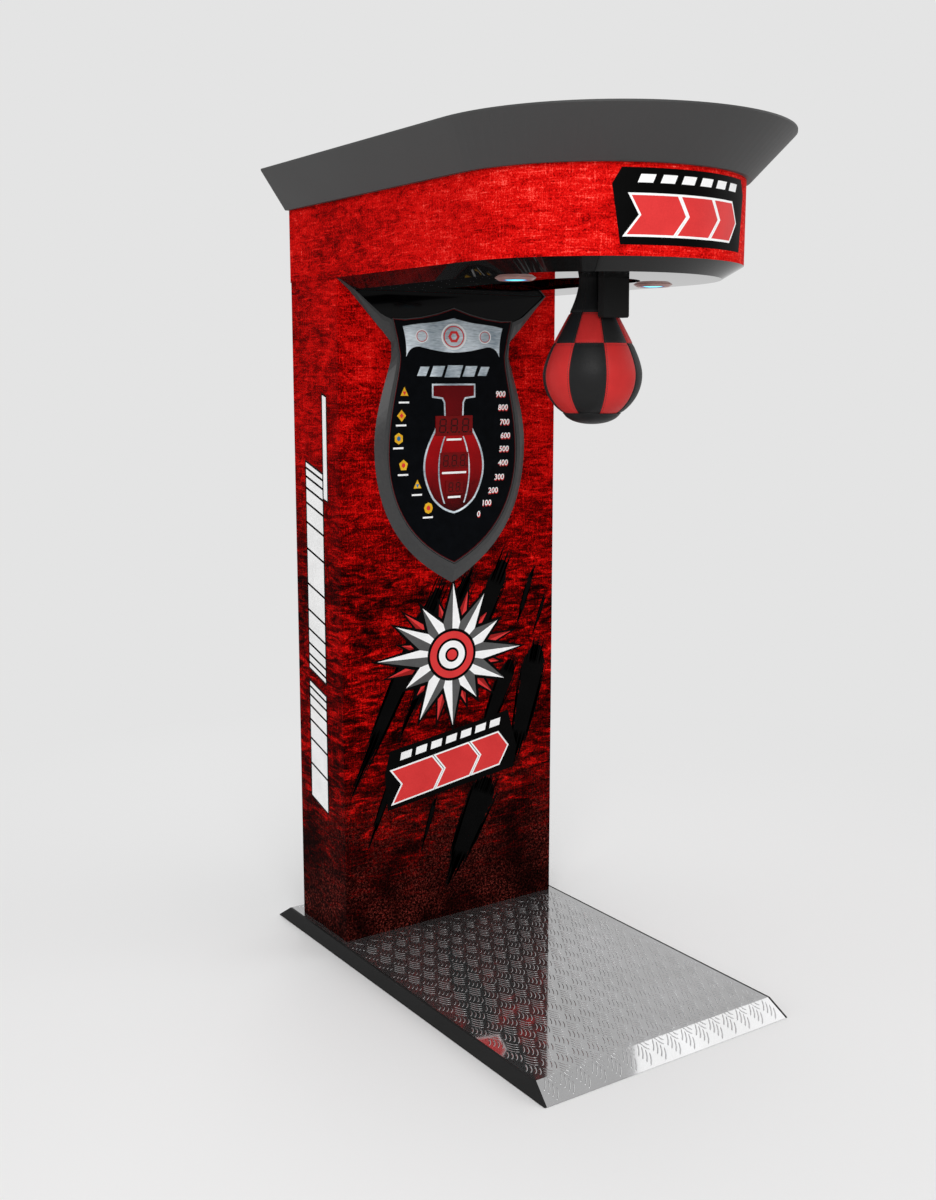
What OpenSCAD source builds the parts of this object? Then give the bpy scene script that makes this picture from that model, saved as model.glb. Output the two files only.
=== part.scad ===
// Boxing machine: a ball on a swinging arm hangs from a cantilevered head over a tread-plate base.
// Millimetres, +Z up, front towards -Y. Pieces are drawn from the column's front face at y = 0,
// and machine() then moves them so that the origin is under the middle of the plan.

/* [Base] */
// Width of the base at the floor
base_w = 808; // [790:1:900]
// How far each side skirt leans in from the floor up to the deck
skirt_lean = 10; // [2:1:14]
// Thickness of the side skirts
skirt_t = 7; // [3:0.5:9]
// Reach of the flat deck in front of the column
deck_front = 944; // [850:1:1100]
// Reach of the flat deck behind the column
deck_back = 57; // [30:1:120]
// Plan length of each end ramp
ramp_run = 57; // [40:1:90]
// Thickness of the tread plate
plate_t = 3; // [2:0.5:5]
// Section of the base frame's square tube
base_tube = 30; // [25:1:50]
// Wall of all square tubes
tube_wall = 2; // [1.5:0.5:4]
// Thickness of the rubber floor pads
pad_t = 7; // [5:1:15]
// Radius of the rubber floor pads
pad_r = 20; // [12:1:22]

/* [Column] */
// Width of the column
column_w = 745; // [720:1:770]
// Depth of the column
column_d = 270; // [250:1:320]
// Height of the seam between column and head
seam_z = 1942; // [1900:1:2000]
// Thickness of the column's panels
panel_t = 12; // [9:1:16]
// Section of the column frame's square tube
post_tube = 30; // [25:1:35]
// Width of the service door
door_w = 458; // [400:1:480]
// Height of the service door
door_h = 1086; // [950:1:1100]
// Height of the service door's lower edge
door_z = 162; // [155:1:200]
// Gap round the service door
door_gap = 2; // [1.5:0.5:4]

/* [Head] */
// How far the head's band stands proud of the column on each side
band_lip = 2.5; // [0.5:0.5:6]
// Height of the head's band
band_h = 200; // [180:1:240]
// Straight run of the band in front of the column
band_run = 623; // [560:1:680]
// Drop of the chamfered trim below the band
trim_h = 30; // [20:1:50]
// How far the chamfered trim leans in
trim_in = 51; // [30:1:70]
// Height of the crown's flared wall
crown_h = 104; // [80:1:140]
// How far the crown overhangs the band at its foot
crown_ledge = 12; // [5:1:20]
// How far the crown flares out beyond the band at its top
crown_flare = 85; // [60:1:110]
// How far the crown's round nose moves forward at its top
crown_shift = 42; // [20:1:60]
// Wall of the crown
crown_t = 8; // [5:1:10]
// Thickness of the crown's lid
lid_t = 4; // [3:1:8]
// Thickness of the ceiling plate under the head
ceiling_t = 4; // [3:1:6]
// Section of the head frame's square tube
head_tube = 40; // [30:1:45]
// Half of the clear width between the head's two long tubes
tube_gap = 140; // [139:1:150]

/* [Ball] */
// Distance of the hanging ball's axis in front of the column
ball_reach = 640; // [620:1:660]
// Drop of the ball's lowest point below the ceiling plate
ball_drop = 352; // [340:1:370]
// Radius of the ball at its belly
belly_r = 124; // [110:1:128]
// Height of the belly above the ball's lowest point
belly_h = 121; // [110:1:130]
// Radius where the black neck starts
shoulder_r = 60; // [50:1:64]
// Height of that shoulder above the lowest point
shoulder_h = 273; // [260:1:280]
// Radius of the neck
neck_r = 37; // [30:1:40]
// Height of the neck's top above the lowest point
neck_h = 388; // [380:1:400]
// Radius of the sewn cap under the ball
cap_r = 71; // [60:1:80]
// Height of the sewn cap's rim
cap_h = 28; // [20:1:35]

/* [Swing] */
// Height of the axle above the ceiling plate
axle_up = 128; // [126:1:134]
// Radius of the axle
axle_r = 10; // [8:0.5:12]
// Running clearance between a shaft and its bore
run_gap = 0.05; // [0.03:0.01:0.08]
// Radius of the hanging arm's tube
arm_r = 16; // [14:1:18]
// Radius of the arm's hub
hub_r = 23; // [20:1:26]
// Length of the arm's hub
hub_len = 120; // [80:2:130]
// Clearance between the ball and the ceiling plate's opening
opening_gap = 7; // [5:1:12]
// Width of the padded stop in front of the neck
stop_w = 82; // [60:1:90]
// Thickness of the padded stop
stop_t = 20; // [14:1:24]
// Drop of the padded stop below the ceiling plate
stop_drop = 92; // [80:1:100]
// Free gap left at a rubber stop
stop_gap = 0.5; // [0.4:0.1:1]
// Distance from the axle to the catch pin
catch_arm = 90; // [80:1:95]
// Radius of the catch pin
catch_r = 6; // [5:0.5:7]
// Angle through which the latch hook swings
hook_swing = 14; // [12:1:16]

/* [Shield] */
// How far the shield's ears pass the ceiling plate's straight sides
ear_over = 12; // [0:1:20]
// Half width of the shield's waist
waist_half = 203; // [195:1:215]
// Half width of the shield's belly
shield_half = 261; // [250:1:275]
// Height of the shield's lower point
tip_z = 1075; // [1040:1:1100]
// How far the shield's border stands off the wall
border_t = 13; // [10:1:20]
// Thickness of the shield's black backing
backing_t = 8; // [5:1:9]
// Thickness of the printed display plate
display_t = 3; // [2:0.5:4]
// Gap round the printed display plate
display_gap = 3; // [2:0.5:6]

/* [Lights] */
// Distance of each ceiling light's middle from the ceiling plate's straight side
light_inset = 105; // [104:1:120]
// Distance of the ceiling lights in front of the column
light_y = 612; // [500:1:640]
// Radius of the light's ring
light_r = 49.5; // [45:0.5:56]
// Radius of the light's lens
lens_r = 31; // [25:1:36]
// How far the ring stands below the ceiling plate
light_drop = 6.5; // [5:0.5:12]

/* [Coin unit] */
// Height of the coin plate's middle
coin_z = 1055; // [1040:1:1070]
// Height of the coin plate
coin_plate_h = 190; // [180:1:210]
// Width of the coin plate
coin_plate_w = 115; // [110:1:130]
// Thickness of the coin plate
coin_plate_t = 4; // [3:0.5:6]
// Travel of the coin return button
button_travel = 5; // [3:0.5:6]
// Radius of the coin return button
button_r = 9; // [7:0.5:10]

/* [Hidden] */

eps = 0.01;
fine = 96;
bore_fn = 48;

// Heights
deck_z = pad_t + base_tube + plate_t;
ceiling_z = seam_z - trim_h;
band_top = seam_z + band_h;
crown_top = band_top + crown_h;
axle_z = ceiling_z + axle_up;
ball_z = ceiling_z - ball_drop;
head_tube_z = axle_z + hub_r + 37;
post_top = head_tube_z;

// Plan of the base
deck_w = base_w - 2 * skirt_lean;
floor_gap = 1;
front_edge = -deck_front - ramp_run;
rear_edge = column_d + deck_back + ramp_run;
skirt_tab = 2;
rail_x = deck_w / 2 - skirt_t - skirt_tab - base_tube / 2;

// Plan of the head
band_r = column_w / 2 + band_lip;
band_t = panel_t + band_lip;
band_in = band_r - band_t;
crown_r = band_r + crown_flare;
crown_nose = -(band_run + crown_shift) - crown_r;
trim_r = band_r - trim_in;
light_x = trim_r - light_inset;
ear_half = trim_r + ear_over;

// Middle of the whole plan, which the origin stands under
plan_mid = (crown_nose + rear_edge) / 2;

// Column frame
frame_gap = 1;
panel_in = column_w / 2 - panel_t;
post_x = panel_in - frame_gap - post_tube / 2;
post_ys = [panel_t + frame_gap + post_tube / 2, column_d - panel_t - frame_gap - post_tube / 2];
foot_t = 6;
foot_half = 20;
bolt_r = 6;
bolt_gap = 0.5;
bolt_head = 8;
bolt_x = post_x - post_tube / 2 - 30;
side_rail_z = deck_z + foot_t + post_tube / 2;
foot_rail_z = deck_z + foot_t + bolt_head + 2 + post_tube / 2;
mid_rail_z = 1200;
top_rail_z = 1720;
shelf_z = 612;
shelf_t = 6;
shelf_w = 139.5;
shelf_x = post_x - post_tube / 2 - shelf_w;

// Ball and swing
stop_face = shoulder_r + 7.5;
opening_half = belly_r + opening_gap;
ball_len = axle_z - ball_z;
opening_rear = -ball_reach + ball_len;
opening_nose = -ball_reach - 105 + opening_half;
wall_x = tube_gap - 8;
hub_drop = axle_z - (ball_z + neck_h);

// Latch
hook_y = 30;
hook_z = 65;
hook_t = 8;
hook_x = wall_x - 18;
lever_t = 10;
tail = 30;
solenoid_y = 62;

// Coin unit
coin_y = 132.5;
plate_x = column_w / 2;
slot_y = coin_y - 17;
button_y = coin_y + 25;
button_z = coin_z + 65;
cup_z = coin_z - 49;
cup_w = 55;
cup_h = 40;
cup_deep = 48;
cup_t = 2;
flap_r = 3;
flap_pin_r = 1.5;
flap_x = plate_x - flap_r - 1;
button_gap = 0.3;

// Score windows of the display, each [height of its middle, width, height]
leds = [[1537, 128, 57], [1436, 98, 47], [1359, 60, 38]];
led_gap = 1;

// Rear fittings
hinge_r = 6;
hinge_x = door_w / 2 + door_gap / 2;
hinge_y = column_d + hinge_r + 0.5;
hinge_pin_r = 3;
hinge_zs = [door_z + 110, door_z + door_h / 2, door_z + door_h - 110];
hinge_len = 90;
lock_x = -door_w / 2 + 29;
lock_z = door_z + door_h / 2;
inlet_w = 48;
inlet_h = 30;
inlet_gap = 0.5;
inlet_inset = 94.5;
inlet_x = post_x - inlet_inset;
inlet_z = foot_rail_z + post_tube / 2 + 4 + inlet_h / 2;
speaker_z = 1560;
vent_z = inlet_z;

// Move everything so that the origin is under the middle of the plan
module machine() { translate([0, -plan_mid, 0]) children(); }

// A copy on each side
module both_sides() { for (s = [-1, 1]) scale([s, 1, 1]) children(); }

// A cylinder along X or along Y, from one end to the other
module rod_x(r, x0, x1, fn = bore_fn) {
    translate([x0, 0, 0]) rotate([0, 90, 0]) cylinder(r = r, h = x1 - x0, $fn = fn);
}
module rod_y(r, y0, y1, fn = bore_fn) {
    translate([0, y1, 0]) rotate([90, 0, 0]) cylinder(r = r, h = y1 - y0, $fn = fn);
}

// A box from its two corners
module block(a, b) { translate(a) cube(b - a); }

// Hollow square tubes along each axis, from one end to the other
module tube_box(size, len) {
    bore = size - 2 * tube_wall;
    difference() {
        cube([size, size, len]);
        translate([tube_wall, tube_wall, -eps]) cube([bore, bore, len + 2 * eps]);
    }
}
module tube_z(x, y, z0, z1, s) { translate([x - s / 2, y - s / 2, z0]) tube_box(s, z1 - z0); }
module tube_x(x0, x1, y, z, s) {
    translate([x0, y - s / 2, z + s / 2]) rotate([0, 90, 0]) tube_box(s, x1 - x0);
}
module tube_y(x, y0, y1, z, s) {
    translate([x - s / 2, y0, z + s / 2]) rotate([-90, 0, 0]) tube_box(s, y1 - y0);
}

// Stand a drawing of x and z up on its edge, reaching forward from y
module upright(y, t) { translate([0, y, 0]) rotate([90, 0, 0]) linear_extrude(t) children(); }

// Extrude a drawing of y and z across the width
module across(x0, x1) { translate([x0, 0, 0]) rotate([90, 0, 90]) linear_extrude(x1 - x0) children(); }

// One point and a run of points on a cubic curve
function on_curve(p, t, u) = u * u * u * p[0] + 3 * t * u * u * p[1] + 3 * t * t * u * p[2] + t * t * t * p[3];
function curve(p, n, first = 0) = [for (i = [first:n]) on_curve(p, i / n, 1 - i / n)];

// Plan with straight sides from the rear and a round nose, of half width r and nose centre y
module nose_plan(r, y, rear) {
    translate([0, y]) circle(r = r, $fn = fine);
    translate([-r, y]) square([2 * r, rear - y]);
}

// Side view of the base's outside, from which skirts and plate are cut
deck_end = column_d + deck_back;
module base_side() {
    polygon([[front_edge, floor_gap], [-deck_front, deck_z], [deck_end, deck_z], [rear_edge, floor_gap]]);
}

// Inner face of the leaning skirt at a height, and the end view of what fits between the skirts
function skirt_in(z) = base_w / 2 - skirt_t - skirt_lean * (z - floor_gap) / (deck_z - floor_gap);
module between_skirts() {
    translate([0, rear_edge, 0]) rotate([90, 0, 0]) linear_extrude(rear_edge - front_edge)
        polygon([[-skirt_in(floor_gap), floor_gap], [skirt_in(floor_gap), floor_gap],
            [skirt_in(deck_z), deck_z], [-skirt_in(deck_z), deck_z]]);
}

cross_ys = [-deck_front + base_tube, -deck_front * 0.66, -deck_front * 0.33, post_ys[0], post_ys[1]];
base_tube_z = pad_t + base_tube / 2;
module base_frame() {
    inner = rail_x - base_tube / 2;
    color("dimgray") machine() difference() {
        union() {
            both_sides() tube_y(rail_x, -deck_front + base_tube / 2, deck_end - 5, base_tube_z, base_tube);
            for (y = cross_ys) tube_x(-inner, inner, y, base_tube_z, base_tube);
        }
        for (y = post_ys) both_sides() translate([bolt_x, y, deck_z - plate_t - tube_wall - 1])
            cylinder(r = bolt_r + bolt_gap, h = tube_wall + 2, $fn = bore_fn);
    }
}

module tread_plate() {
    edge = 3 * plate_t;
    below = deck_z - plate_t;
    color("silver") machine() difference() {
        intersection() {
            across(-base_w / 2, base_w / 2) difference() {
                base_side();
                polygon([[front_edge + edge, floor_gap - eps], [-deck_front + plate_t / 2, below],
                    [deck_end - plate_t / 2, below], [rear_edge - edge, floor_gap - eps]]);
            }
            between_skirts();
        }
        for (y = post_ys) both_sides() translate([bolt_x, y, below - 1])
            cylinder(r = bolt_r + bolt_gap, h = plate_t + 2, $fn = bore_fn);
    }
}

// Right-hand skirt: a leaning wall, and under the plate a tab that is welded to the frame's rail
module base_skirt() {
    below = deck_z - plate_t;
    tab_h = 9;
    tab_len = deck_end + deck_front - 2 * plate_t;
    tab_x = rail_x + base_tube / 2;
    intersection() {
        translate([0, rear_edge, 0]) rotate([90, 0, 0]) linear_extrude(rear_edge - front_edge)
            polygon([[skirt_in(floor_gap), floor_gap], [base_w / 2, floor_gap],
                [deck_w / 2, deck_z], [skirt_in(deck_z), deck_z]]);
        across(0, base_w) base_side();
    }
    translate([0, deck_end - plate_t, 0]) rotate([90, 0, 0]) linear_extrude(tab_len)
        polygon([[tab_x, below - tab_h], [skirt_in(below - tab_h) + 1, below - tab_h],
            [skirt_in(below) + 1, below], [tab_x, below]]);
}
module base_skirt_left() { color("#2b2b2b") machine() mirror([1, 0, 0]) base_skirt(); }
module base_skirt_right() { color("#2b2b2b") machine() base_skirt(); }

module floor_pads() {
    pad_ys = [-deck_front + 3 * base_tube, -deck_front * 0.5, 0, deck_end - 2 * base_tube];
    color("#1c1c1c") machine() for (y = pad_ys) both_sides() translate([rail_x, y, 0])
        cylinder(r = pad_r, h = pad_t, $fn = 32);
}

module column_bolts() {
    color("gray") machine() for (y = post_ys) both_sides() translate([bolt_x, y, 0]) {
        translate([0, 0, deck_z + foot_t]) cylinder(r = bolt_r * 1.7, h = bolt_head, $fn = 6);
        translate([0, 0, base_tube_z])
            cylinder(r = bolt_r, h = deck_z + foot_t + 1 - base_tube_z, $fn = bore_fn);
    }
}

module column_frame() {
    half = post_tube / 2;
    inner = post_x - half;
    color("dimgray") machine() difference() {
        union() {
            both_sides() {
                for (y = post_ys) {
                    tube_z(post_x, y, deck_z, post_top, post_tube);
                    block([bolt_x - foot_half, y - half, deck_z], [inner, y + half, deck_z + foot_t]);
                }
                for (z = [side_rail_z, shelf_z - half, mid_rail_z + 90, top_rail_z, post_top - half])
                    tube_y(post_x, post_ys[0] + half, post_ys[1] - half, z, post_tube);
            }
            for (z = [foot_rail_z, shelf_z - half, mid_rail_z, top_rail_z, post_top - half])
                tube_x(-inner, inner, post_ys[0], z, post_tube);
            for (z = [foot_rail_z, door_z + door_h + 60, post_top - half])
                tube_x(-inner, inner, post_ys[1], z, post_tube);
            translate([0, 0, shelf_z]) {
                block([shelf_x, post_ys[0] - half, 0], [inner, post_ys[1] + half, shelf_t]);
                block([inner, post_ys[0] + half, 0], [post_x + half, post_ys[1] - half, shelf_t]);
            }
        }
        for (y = post_ys) both_sides() translate([bolt_x, y, deck_z - 1])
            cylinder(r = bolt_r + bolt_gap, h = foot_t + 2, $fn = bore_fn);
    }
}

// Cuts for the three score windows, from one depth to another
module led_cuts(y0, y1) {
    for (l = leds) {
        half_w = l[1] / 2 - led_gap;
        half_h = l[2] / 2 - led_gap;
        block([-half_w, y0, l[0] - half_h], [half_w, y1, l[0] + half_h]);
    }
}

module front_panel() {
    color("darkred") machine() difference() {
        block([-panel_in, 0, deck_z], [panel_in, panel_t, seam_z]);
        led_cuts(-1, panel_t + 1);
    }
}

module side_panel() { block([panel_in, 0, deck_z], [column_w / 2, column_d, seam_z]); }
module left_panel() { color("darkred") machine() mirror([1, 0, 0]) side_panel(); }

coin_cut_h = coin_plate_h - 24;
coin_cut_w = coin_plate_w - 24;
module right_panel() {
    color("darkred") machine() difference() {
        side_panel();
        block([panel_in - 1, coin_y - coin_cut_w / 2, coin_z - coin_cut_h / 2],
            [column_w / 2 + 1, coin_y + coin_cut_w / 2, coin_z + coin_cut_h / 2]);
    }
}

speaker_hole = 58;
vent_w = 150;
vent_h = 60;
module rear_panel() {
    y0 = column_d - panel_t;
    y1 = column_d + 1;
    door_half = door_w / 2 + door_gap;
    color("#303030") machine() difference() {
        block([-panel_in, y0, deck_z], [panel_in, column_d, band_top]);
        block([-door_half, y0 - 1, door_z - door_gap], [door_half, y1, door_z + door_h + door_gap]);
        translate([0, 0, speaker_z]) rod_y(speaker_hole, y0 - 1, y1, fine);
        block([-vent_w / 2, y0 - 1, vent_z - vent_h / 2], [vent_w / 2, y1, vent_z + vent_h / 2]);
        translate([inlet_x, 0, inlet_z]) block([-inlet_w / 2 - inlet_gap, y0 - 1, -inlet_h / 2 - inlet_gap],
            [inlet_w / 2 + inlet_gap, y1, inlet_h / 2 + inlet_gap]);
    }
}

lock_r = 10;
module service_door() {
    color("#303030") machine() difference() {
        block([-door_w / 2, column_d - panel_t, door_z], [door_w / 2, column_d, door_z + door_h]);
        translate([lock_x, 0, lock_z]) rod_y(lock_r, column_d - panel_t - 1, column_d + 1);
    }
}

// Three-knuckle hinges: the fixed leaf holds the two outer knuckles and the pin
knuckle_gap = 0.5;
leaf_t = 2.5;
leaf_w = 32;
module door_hinge_fixed() {
    third = hinge_len / 3;
    clear_x = hinge_r + knuckle_gap;
    color("gray") machine() for (z = hinge_zs) translate([hinge_x, 0, z]) {
        for (k = [-1, 1]) translate([0, 0, (k - 0.5) * third]) {
            translate([0, hinge_y, 0]) cylinder(r = hinge_r, h = third, $fn = bore_fn);
            translate([1, column_d, 0]) cube([leaf_w, leaf_t, third]);
        }
        translate([clear_x, column_d, -third / 2 - 1]) cube([leaf_w + 1 - clear_x, leaf_t, third + 2]);
        translate([0, hinge_y, -hinge_len / 2]) cylinder(r = hinge_pin_r, h = hinge_len, $fn = bore_fn);
    }
}
module door_hinge_moving() {
    third = hinge_len / 3 - 2 * knuckle_gap;
    color("gray") machine() for (z = hinge_zs) translate([hinge_x, 0, z - third / 2]) difference() {
        union() {
            translate([0, hinge_y, 0]) cylinder(r = hinge_r, h = third, $fn = bore_fn);
            translate([-leaf_w - 1, column_d, 0]) cube([leaf_w, leaf_t, third]);
        }
        translate([0, hinge_y, -1]) cylinder(r = hinge_pin_r + run_gap, h = third + 2, $fn = bore_fn);
    }
}

barrel_r = 7;
cam_len = 45;
module lock_housing() {
    color("silver") machine() translate([lock_x, 0, lock_z]) difference() {
        union() {
            rod_y(lock_r, column_d - panel_t - 1.5, column_d + 1);
            rod_y(lock_r + 5, column_d, column_d + 3);
        }
        rod_y(barrel_r, column_d - panel_t - 3, column_d + 4);
    }
}
module lock_cam() {
    y1 = column_d - panel_t - 2;
    color("goldenrod") machine() translate([lock_x, 0, lock_z]) difference() {
        union() {
            rod_y(barrel_r - run_gap, y1 - 1, column_d + 3.5);
            rod_y(lock_r, y1 - 3.5, y1);
            block([-barrel_r, y1 - 3.5, -cam_len], [barrel_r, y1, 0]);
        }
        block([-0.8, column_d - 8, -4], [0.8, column_d + 4, 4]);
    }
}

// Two pressed grilles: a vent near the floor and the speaker's cover
module grille(w, h, slots) {
    difference() {
        block([-w / 2, column_d, -h / 2], [w / 2, column_d + 2, h / 2]);
        for (i = [0:slots - 1]) translate([0, 0, (i - (slots - 1) / 2) * 10])
            block([-w / 2 + 16, column_d - 1, -2.5], [w / 2 - 16, column_d + 3, 2.5]);
    }
}
module rear_grilles() {
    color("#202020") machine() {
        translate([0, 0, vent_z]) grille(vent_w + 30, vent_h + 24, 6);
        translate([0, 0, speaker_z]) grille(2 * speaker_hole + 34, 2 * speaker_hole + 34, 11);
    }
}

magnet_r = 38;
magnet_z = 34;
speaker_deep = 60;
module speaker() {
    back = column_d - panel_t;
    color("#252525") machine() translate([0, back, speaker_z]) rotate([90, 0, 0]) rotate_extrude($fn = fine)
        polygon([[0, 14], [16, 18], [speaker_hole - 8, 4], [speaker_hole - 8, 0], [speaker_hole + 10, 0],
            [speaker_hole + 10, 4], [magnet_r, magnet_z], [magnet_r, speaker_deep], [0, speaker_deep]]);
}

board_w = 200;
board_h = 140;
board_z = 960;
module control_board() {
    z0 = board_z;
    color("darkgreen") machine() {
        block([-board_w / 2, panel_t + 10, z0], [board_w / 2, panel_t + 12, z0 + board_h]);
        for (x = [-1, 1], z = [8, board_h - 8])
            translate([x * (board_w / 2 - 8), 0, z0 + z]) rod_y(4, panel_t, panel_t + 11, 24);
        for (i = [-2:2]) translate([i * 0.18 * board_w - 0.01 * board_w, panel_t + 11, z0 + 0.17 * board_h])
            block([-0.06 * board_w, 0, 0], [0.06 * board_w, 0.045 * board_w, 0.145 * board_h]);
        block([-0.2 * board_w, panel_t + 11, z0 + 0.47 * board_h], [0, panel_t + 17, z0 + 0.76 * board_h]);
        translate([0.3 * board_w, 0, z0 + 0.64 * board_h]) rod_y(0.08 * board_h, panel_t + 11, panel_t + 38, 32);
    }
}

supply_w = 56;
supply_d = 120;
supply_h = 200;
supply_y = 70;
supply_z = 320;
module power_supply() {
    color("silver") machine() translate([-panel_in, supply_y, supply_z]) cube([supply_w, supply_d, supply_h]);
}

socket_w = 24;
socket_h = 17;
socket_x = inlet_x - 9;
rocker_x = inlet_x + 15;
rocker_w = 12;
rocker_half = 10;
rocker_y = column_d - 2;
rocker_tilt = 10;
rocker_gap = 0.3;
trunnion_r = 1.5;
trunnion_len = 1.5;

// A box centred on the inlet in x and z, offset by x and z
module inlet_block(x, z, w, h, y0, y1) {
    translate([x, 0, inlet_z + z]) block([-w / 2, column_d + y0, -h / 2], [w / 2, column_d + y1, h / 2]);
}
module power_inlet() {
    reach = rocker_w / 2 + rocker_gap + trunnion_len + 0.2;
    color("#181818") machine() difference() {
        union() {
            inlet_block(inlet_x, 0, inlet_w, inlet_h, -26, 1);
            inlet_block(inlet_x, 0, inlet_w + 10, inlet_h + 10, 0, 2);
        }
        difference() {
            inlet_block(socket_x, 0, socket_w, socket_h, -18, 3);
            for (p = [[-7, -2], [0, 3], [7, -2]]) inlet_block(socket_x + p[0], p[1], 2, 5, -19, -7);
        }
        inlet_block(rocker_x, 0, rocker_w + 2 * rocker_gap, 2 * rocker_half + 4, -16, 3);
        translate([rocker_x, rocker_y, inlet_z]) rod_x(trunnion_r + run_gap, -reach, reach);
    }
}
module power_rocker() {
    reach = rocker_w / 2 + rocker_gap + trunnion_len;
    color("firebrick") machine() translate([rocker_x, rocker_y, inlet_z]) rotate([-rocker_tilt, 0, 0]) {
        across(-rocker_w / 2, rocker_w / 2)
            polygon([[-6, -8], [4.5, -rocker_half], [2.5, 0], [4.5, rocker_half], [-6, 8]]);
        rod_x(trunnion_r, -reach, reach);
    }
}

flap_z = cup_z + cup_h / 2 - flap_r - 0.5;
flap_w = cup_w - 2;
slot_w = 3.6;
slot_h = 34;

// A box reaching from x0 to x1, centred on y and z
module side_block(x0, x1, y, z, w, h) { block([x0, y - w / 2, z - h / 2], [x1, y + w / 2, z + h / 2]); }
module coin_plate() {
    x0 = plate_x - 1;
    x1 = plate_x + coin_plate_t + 1;
    color("silver") machine() difference() {
        side_block(plate_x, plate_x + coin_plate_t, coin_y, coin_z, coin_plate_w, coin_plate_h);
        side_block(x0, x1, slot_y, button_z, slot_w, slot_h);
        translate([0, button_y, button_z]) rod_x(button_r + button_gap, x0, x1);
        side_block(x0, x1, coin_y, cup_z, cup_w, cup_h);
    }
}
module coin_screws() {
    inset = 8;
    color("gray") machine() for (y = [-1, 1], z = [-1, 1])
        translate([plate_x + coin_plate_t, coin_y + y * (coin_plate_w / 2 - inset), 0])
            translate([0, 0, coin_z + z * (coin_plate_h / 2 - inset)]) rotate([0, 90, 0])
                rotate_extrude($fn = 32) polygon([[0, 0], [5, 0], [4.4, 1.6], [0, 2.6]]);
}
module coin_cup() {
    half = cup_w / 2 + cup_t;
    color("#3a3a3a") machine() difference() {
        side_block(plate_x - cup_deep, plate_x, coin_y, cup_z, 2 * half, cup_h + 2 * cup_t);
        side_block(plate_x - cup_deep + cup_t, plate_x + 1, coin_y, cup_z, cup_w, cup_h);
        translate([flap_x, coin_y, flap_z]) rod_y(flap_pin_r + run_gap, -half - 1, half + 1);
    }
}
module coin_flap() {
    pin = cup_w / 2 + cup_t;
    color("gray") machine() translate([flap_x, coin_y, flap_z]) {
        rod_y(flap_r, -flap_w / 2, flap_w / 2);
        rod_y(flap_pin_r, -pin, pin);
        block([flap_r - 2, -flap_w / 2, -cup_h + 2 * flap_r], [flap_r, flap_w / 2, 0]);
    }
}
module coin_button() {
    collar = plate_x - 8;
    color("firebrick") machine() translate([0, button_y, button_z]) {
        rod_x(button_r, collar, plate_x + coin_plate_t + button_travel + 1);
        rod_x(button_r + 3, collar, collar + 3);
        rod_x(3, collar - 22, collar + 1, 24);
    }
}

acceptor_z0 = cup_z + cup_h / 2 + cup_t + 4;
acceptor_z1 = coin_z + coin_cut_h / 2 - 4;
acceptor_x = plate_x - 82;
chute_x = acceptor_x + 6;
chute_w = 24;
chute_t = 1.5;
module coin_acceptor() {
    y0 = coin_y - coin_cut_w / 2 + 4;
    y1 = button_y - button_r - 5;
    color("#404448") machine() difference() {
        union() {
            block([acceptor_x, y0, acceptor_z0], [plate_x, y1, acceptor_z1]);
            block([acceptor_x - 8, slot_y - 9, acceptor_z0 + 20], [acceptor_x, slot_y + 9, acceptor_z1 - 20]);
        }
        side_block(plate_x - 60, plate_x + 1, slot_y, button_z, slot_w, slot_h);
    }
}
module coin_chute() {
    z0 = shelf_z + shelf_t + cash_h + 4;
    depth = 34;
    color("silver") machine() translate([chute_x, slot_y - 14, 0]) difference() {
        block([0, 0, z0], [chute_w, depth, acceptor_z0]);
        block([chute_t, chute_t, z0 - 1], [chute_w - chute_t, depth - chute_t, acceptor_z0 + 1]);
    }
}
cash_x0 = shelf_x + 6;
cash_x1 = post_x - post_tube / 2 - 2;
cash_y0 = post_ys[0] + 34;
cash_y1 = post_ys[1] - 24;
cash_h = 140;
cash_t = 2;
module cash_box() {
    color("gray") machine() translate([0, 0, shelf_z + shelf_t]) difference() {
        block([cash_x0, cash_y0, 0], [cash_x1, cash_y1, cash_h]);
        block([cash_x0 + cash_t, cash_y0 + cash_t, cash_t], [cash_x1 - cash_t, cash_y1 - cash_t, cash_h + 1]);
    }
}

// Places of the head frame's cross tubes, in front of the column
bumper_dist = 60;
bumper_y = -ball_reach + bumper_dist;
bracket_t = 8;
front_cross = -ball_reach - stop_face - stop_t - bracket_t - head_tube / 2;
rear_cross = opening_rear + 50;
head_tube_x = tube_gap + head_tube / 2;
outrigger_ys = [-60, -330, -band_run + head_tube / 2];
module head_frame() {
    z = head_tube_z + head_tube / 2;
    nose_end = -band_run - sqrt(pow(band_in, 2) - pow(head_tube / 2, 2)) + 1;
    color("dimgray") machine() {
        both_sides() {
            tube_y(head_tube_x, front_cross - 120, post_ys[1] + post_tube / 2, z, head_tube);
            for (y = outrigger_ys) tube_x(tube_gap + head_tube, band_in, y, z, head_tube);
        }
        for (y = [bumper_y, front_cross, rear_cross]) tube_x(-tube_gap, tube_gap, y, z, head_tube);
        tube_y(0, nose_end, front_cross - head_tube / 2, z, head_tube);
    }
}

module head_band() {
    color("red") machine() translate([0, 0, seam_z]) linear_extrude(band_h) difference() {
        nose_plan(band_r, -band_run, column_d);
        nose_plan(band_in, -band_run, column_d + 1);
    }
}

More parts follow.
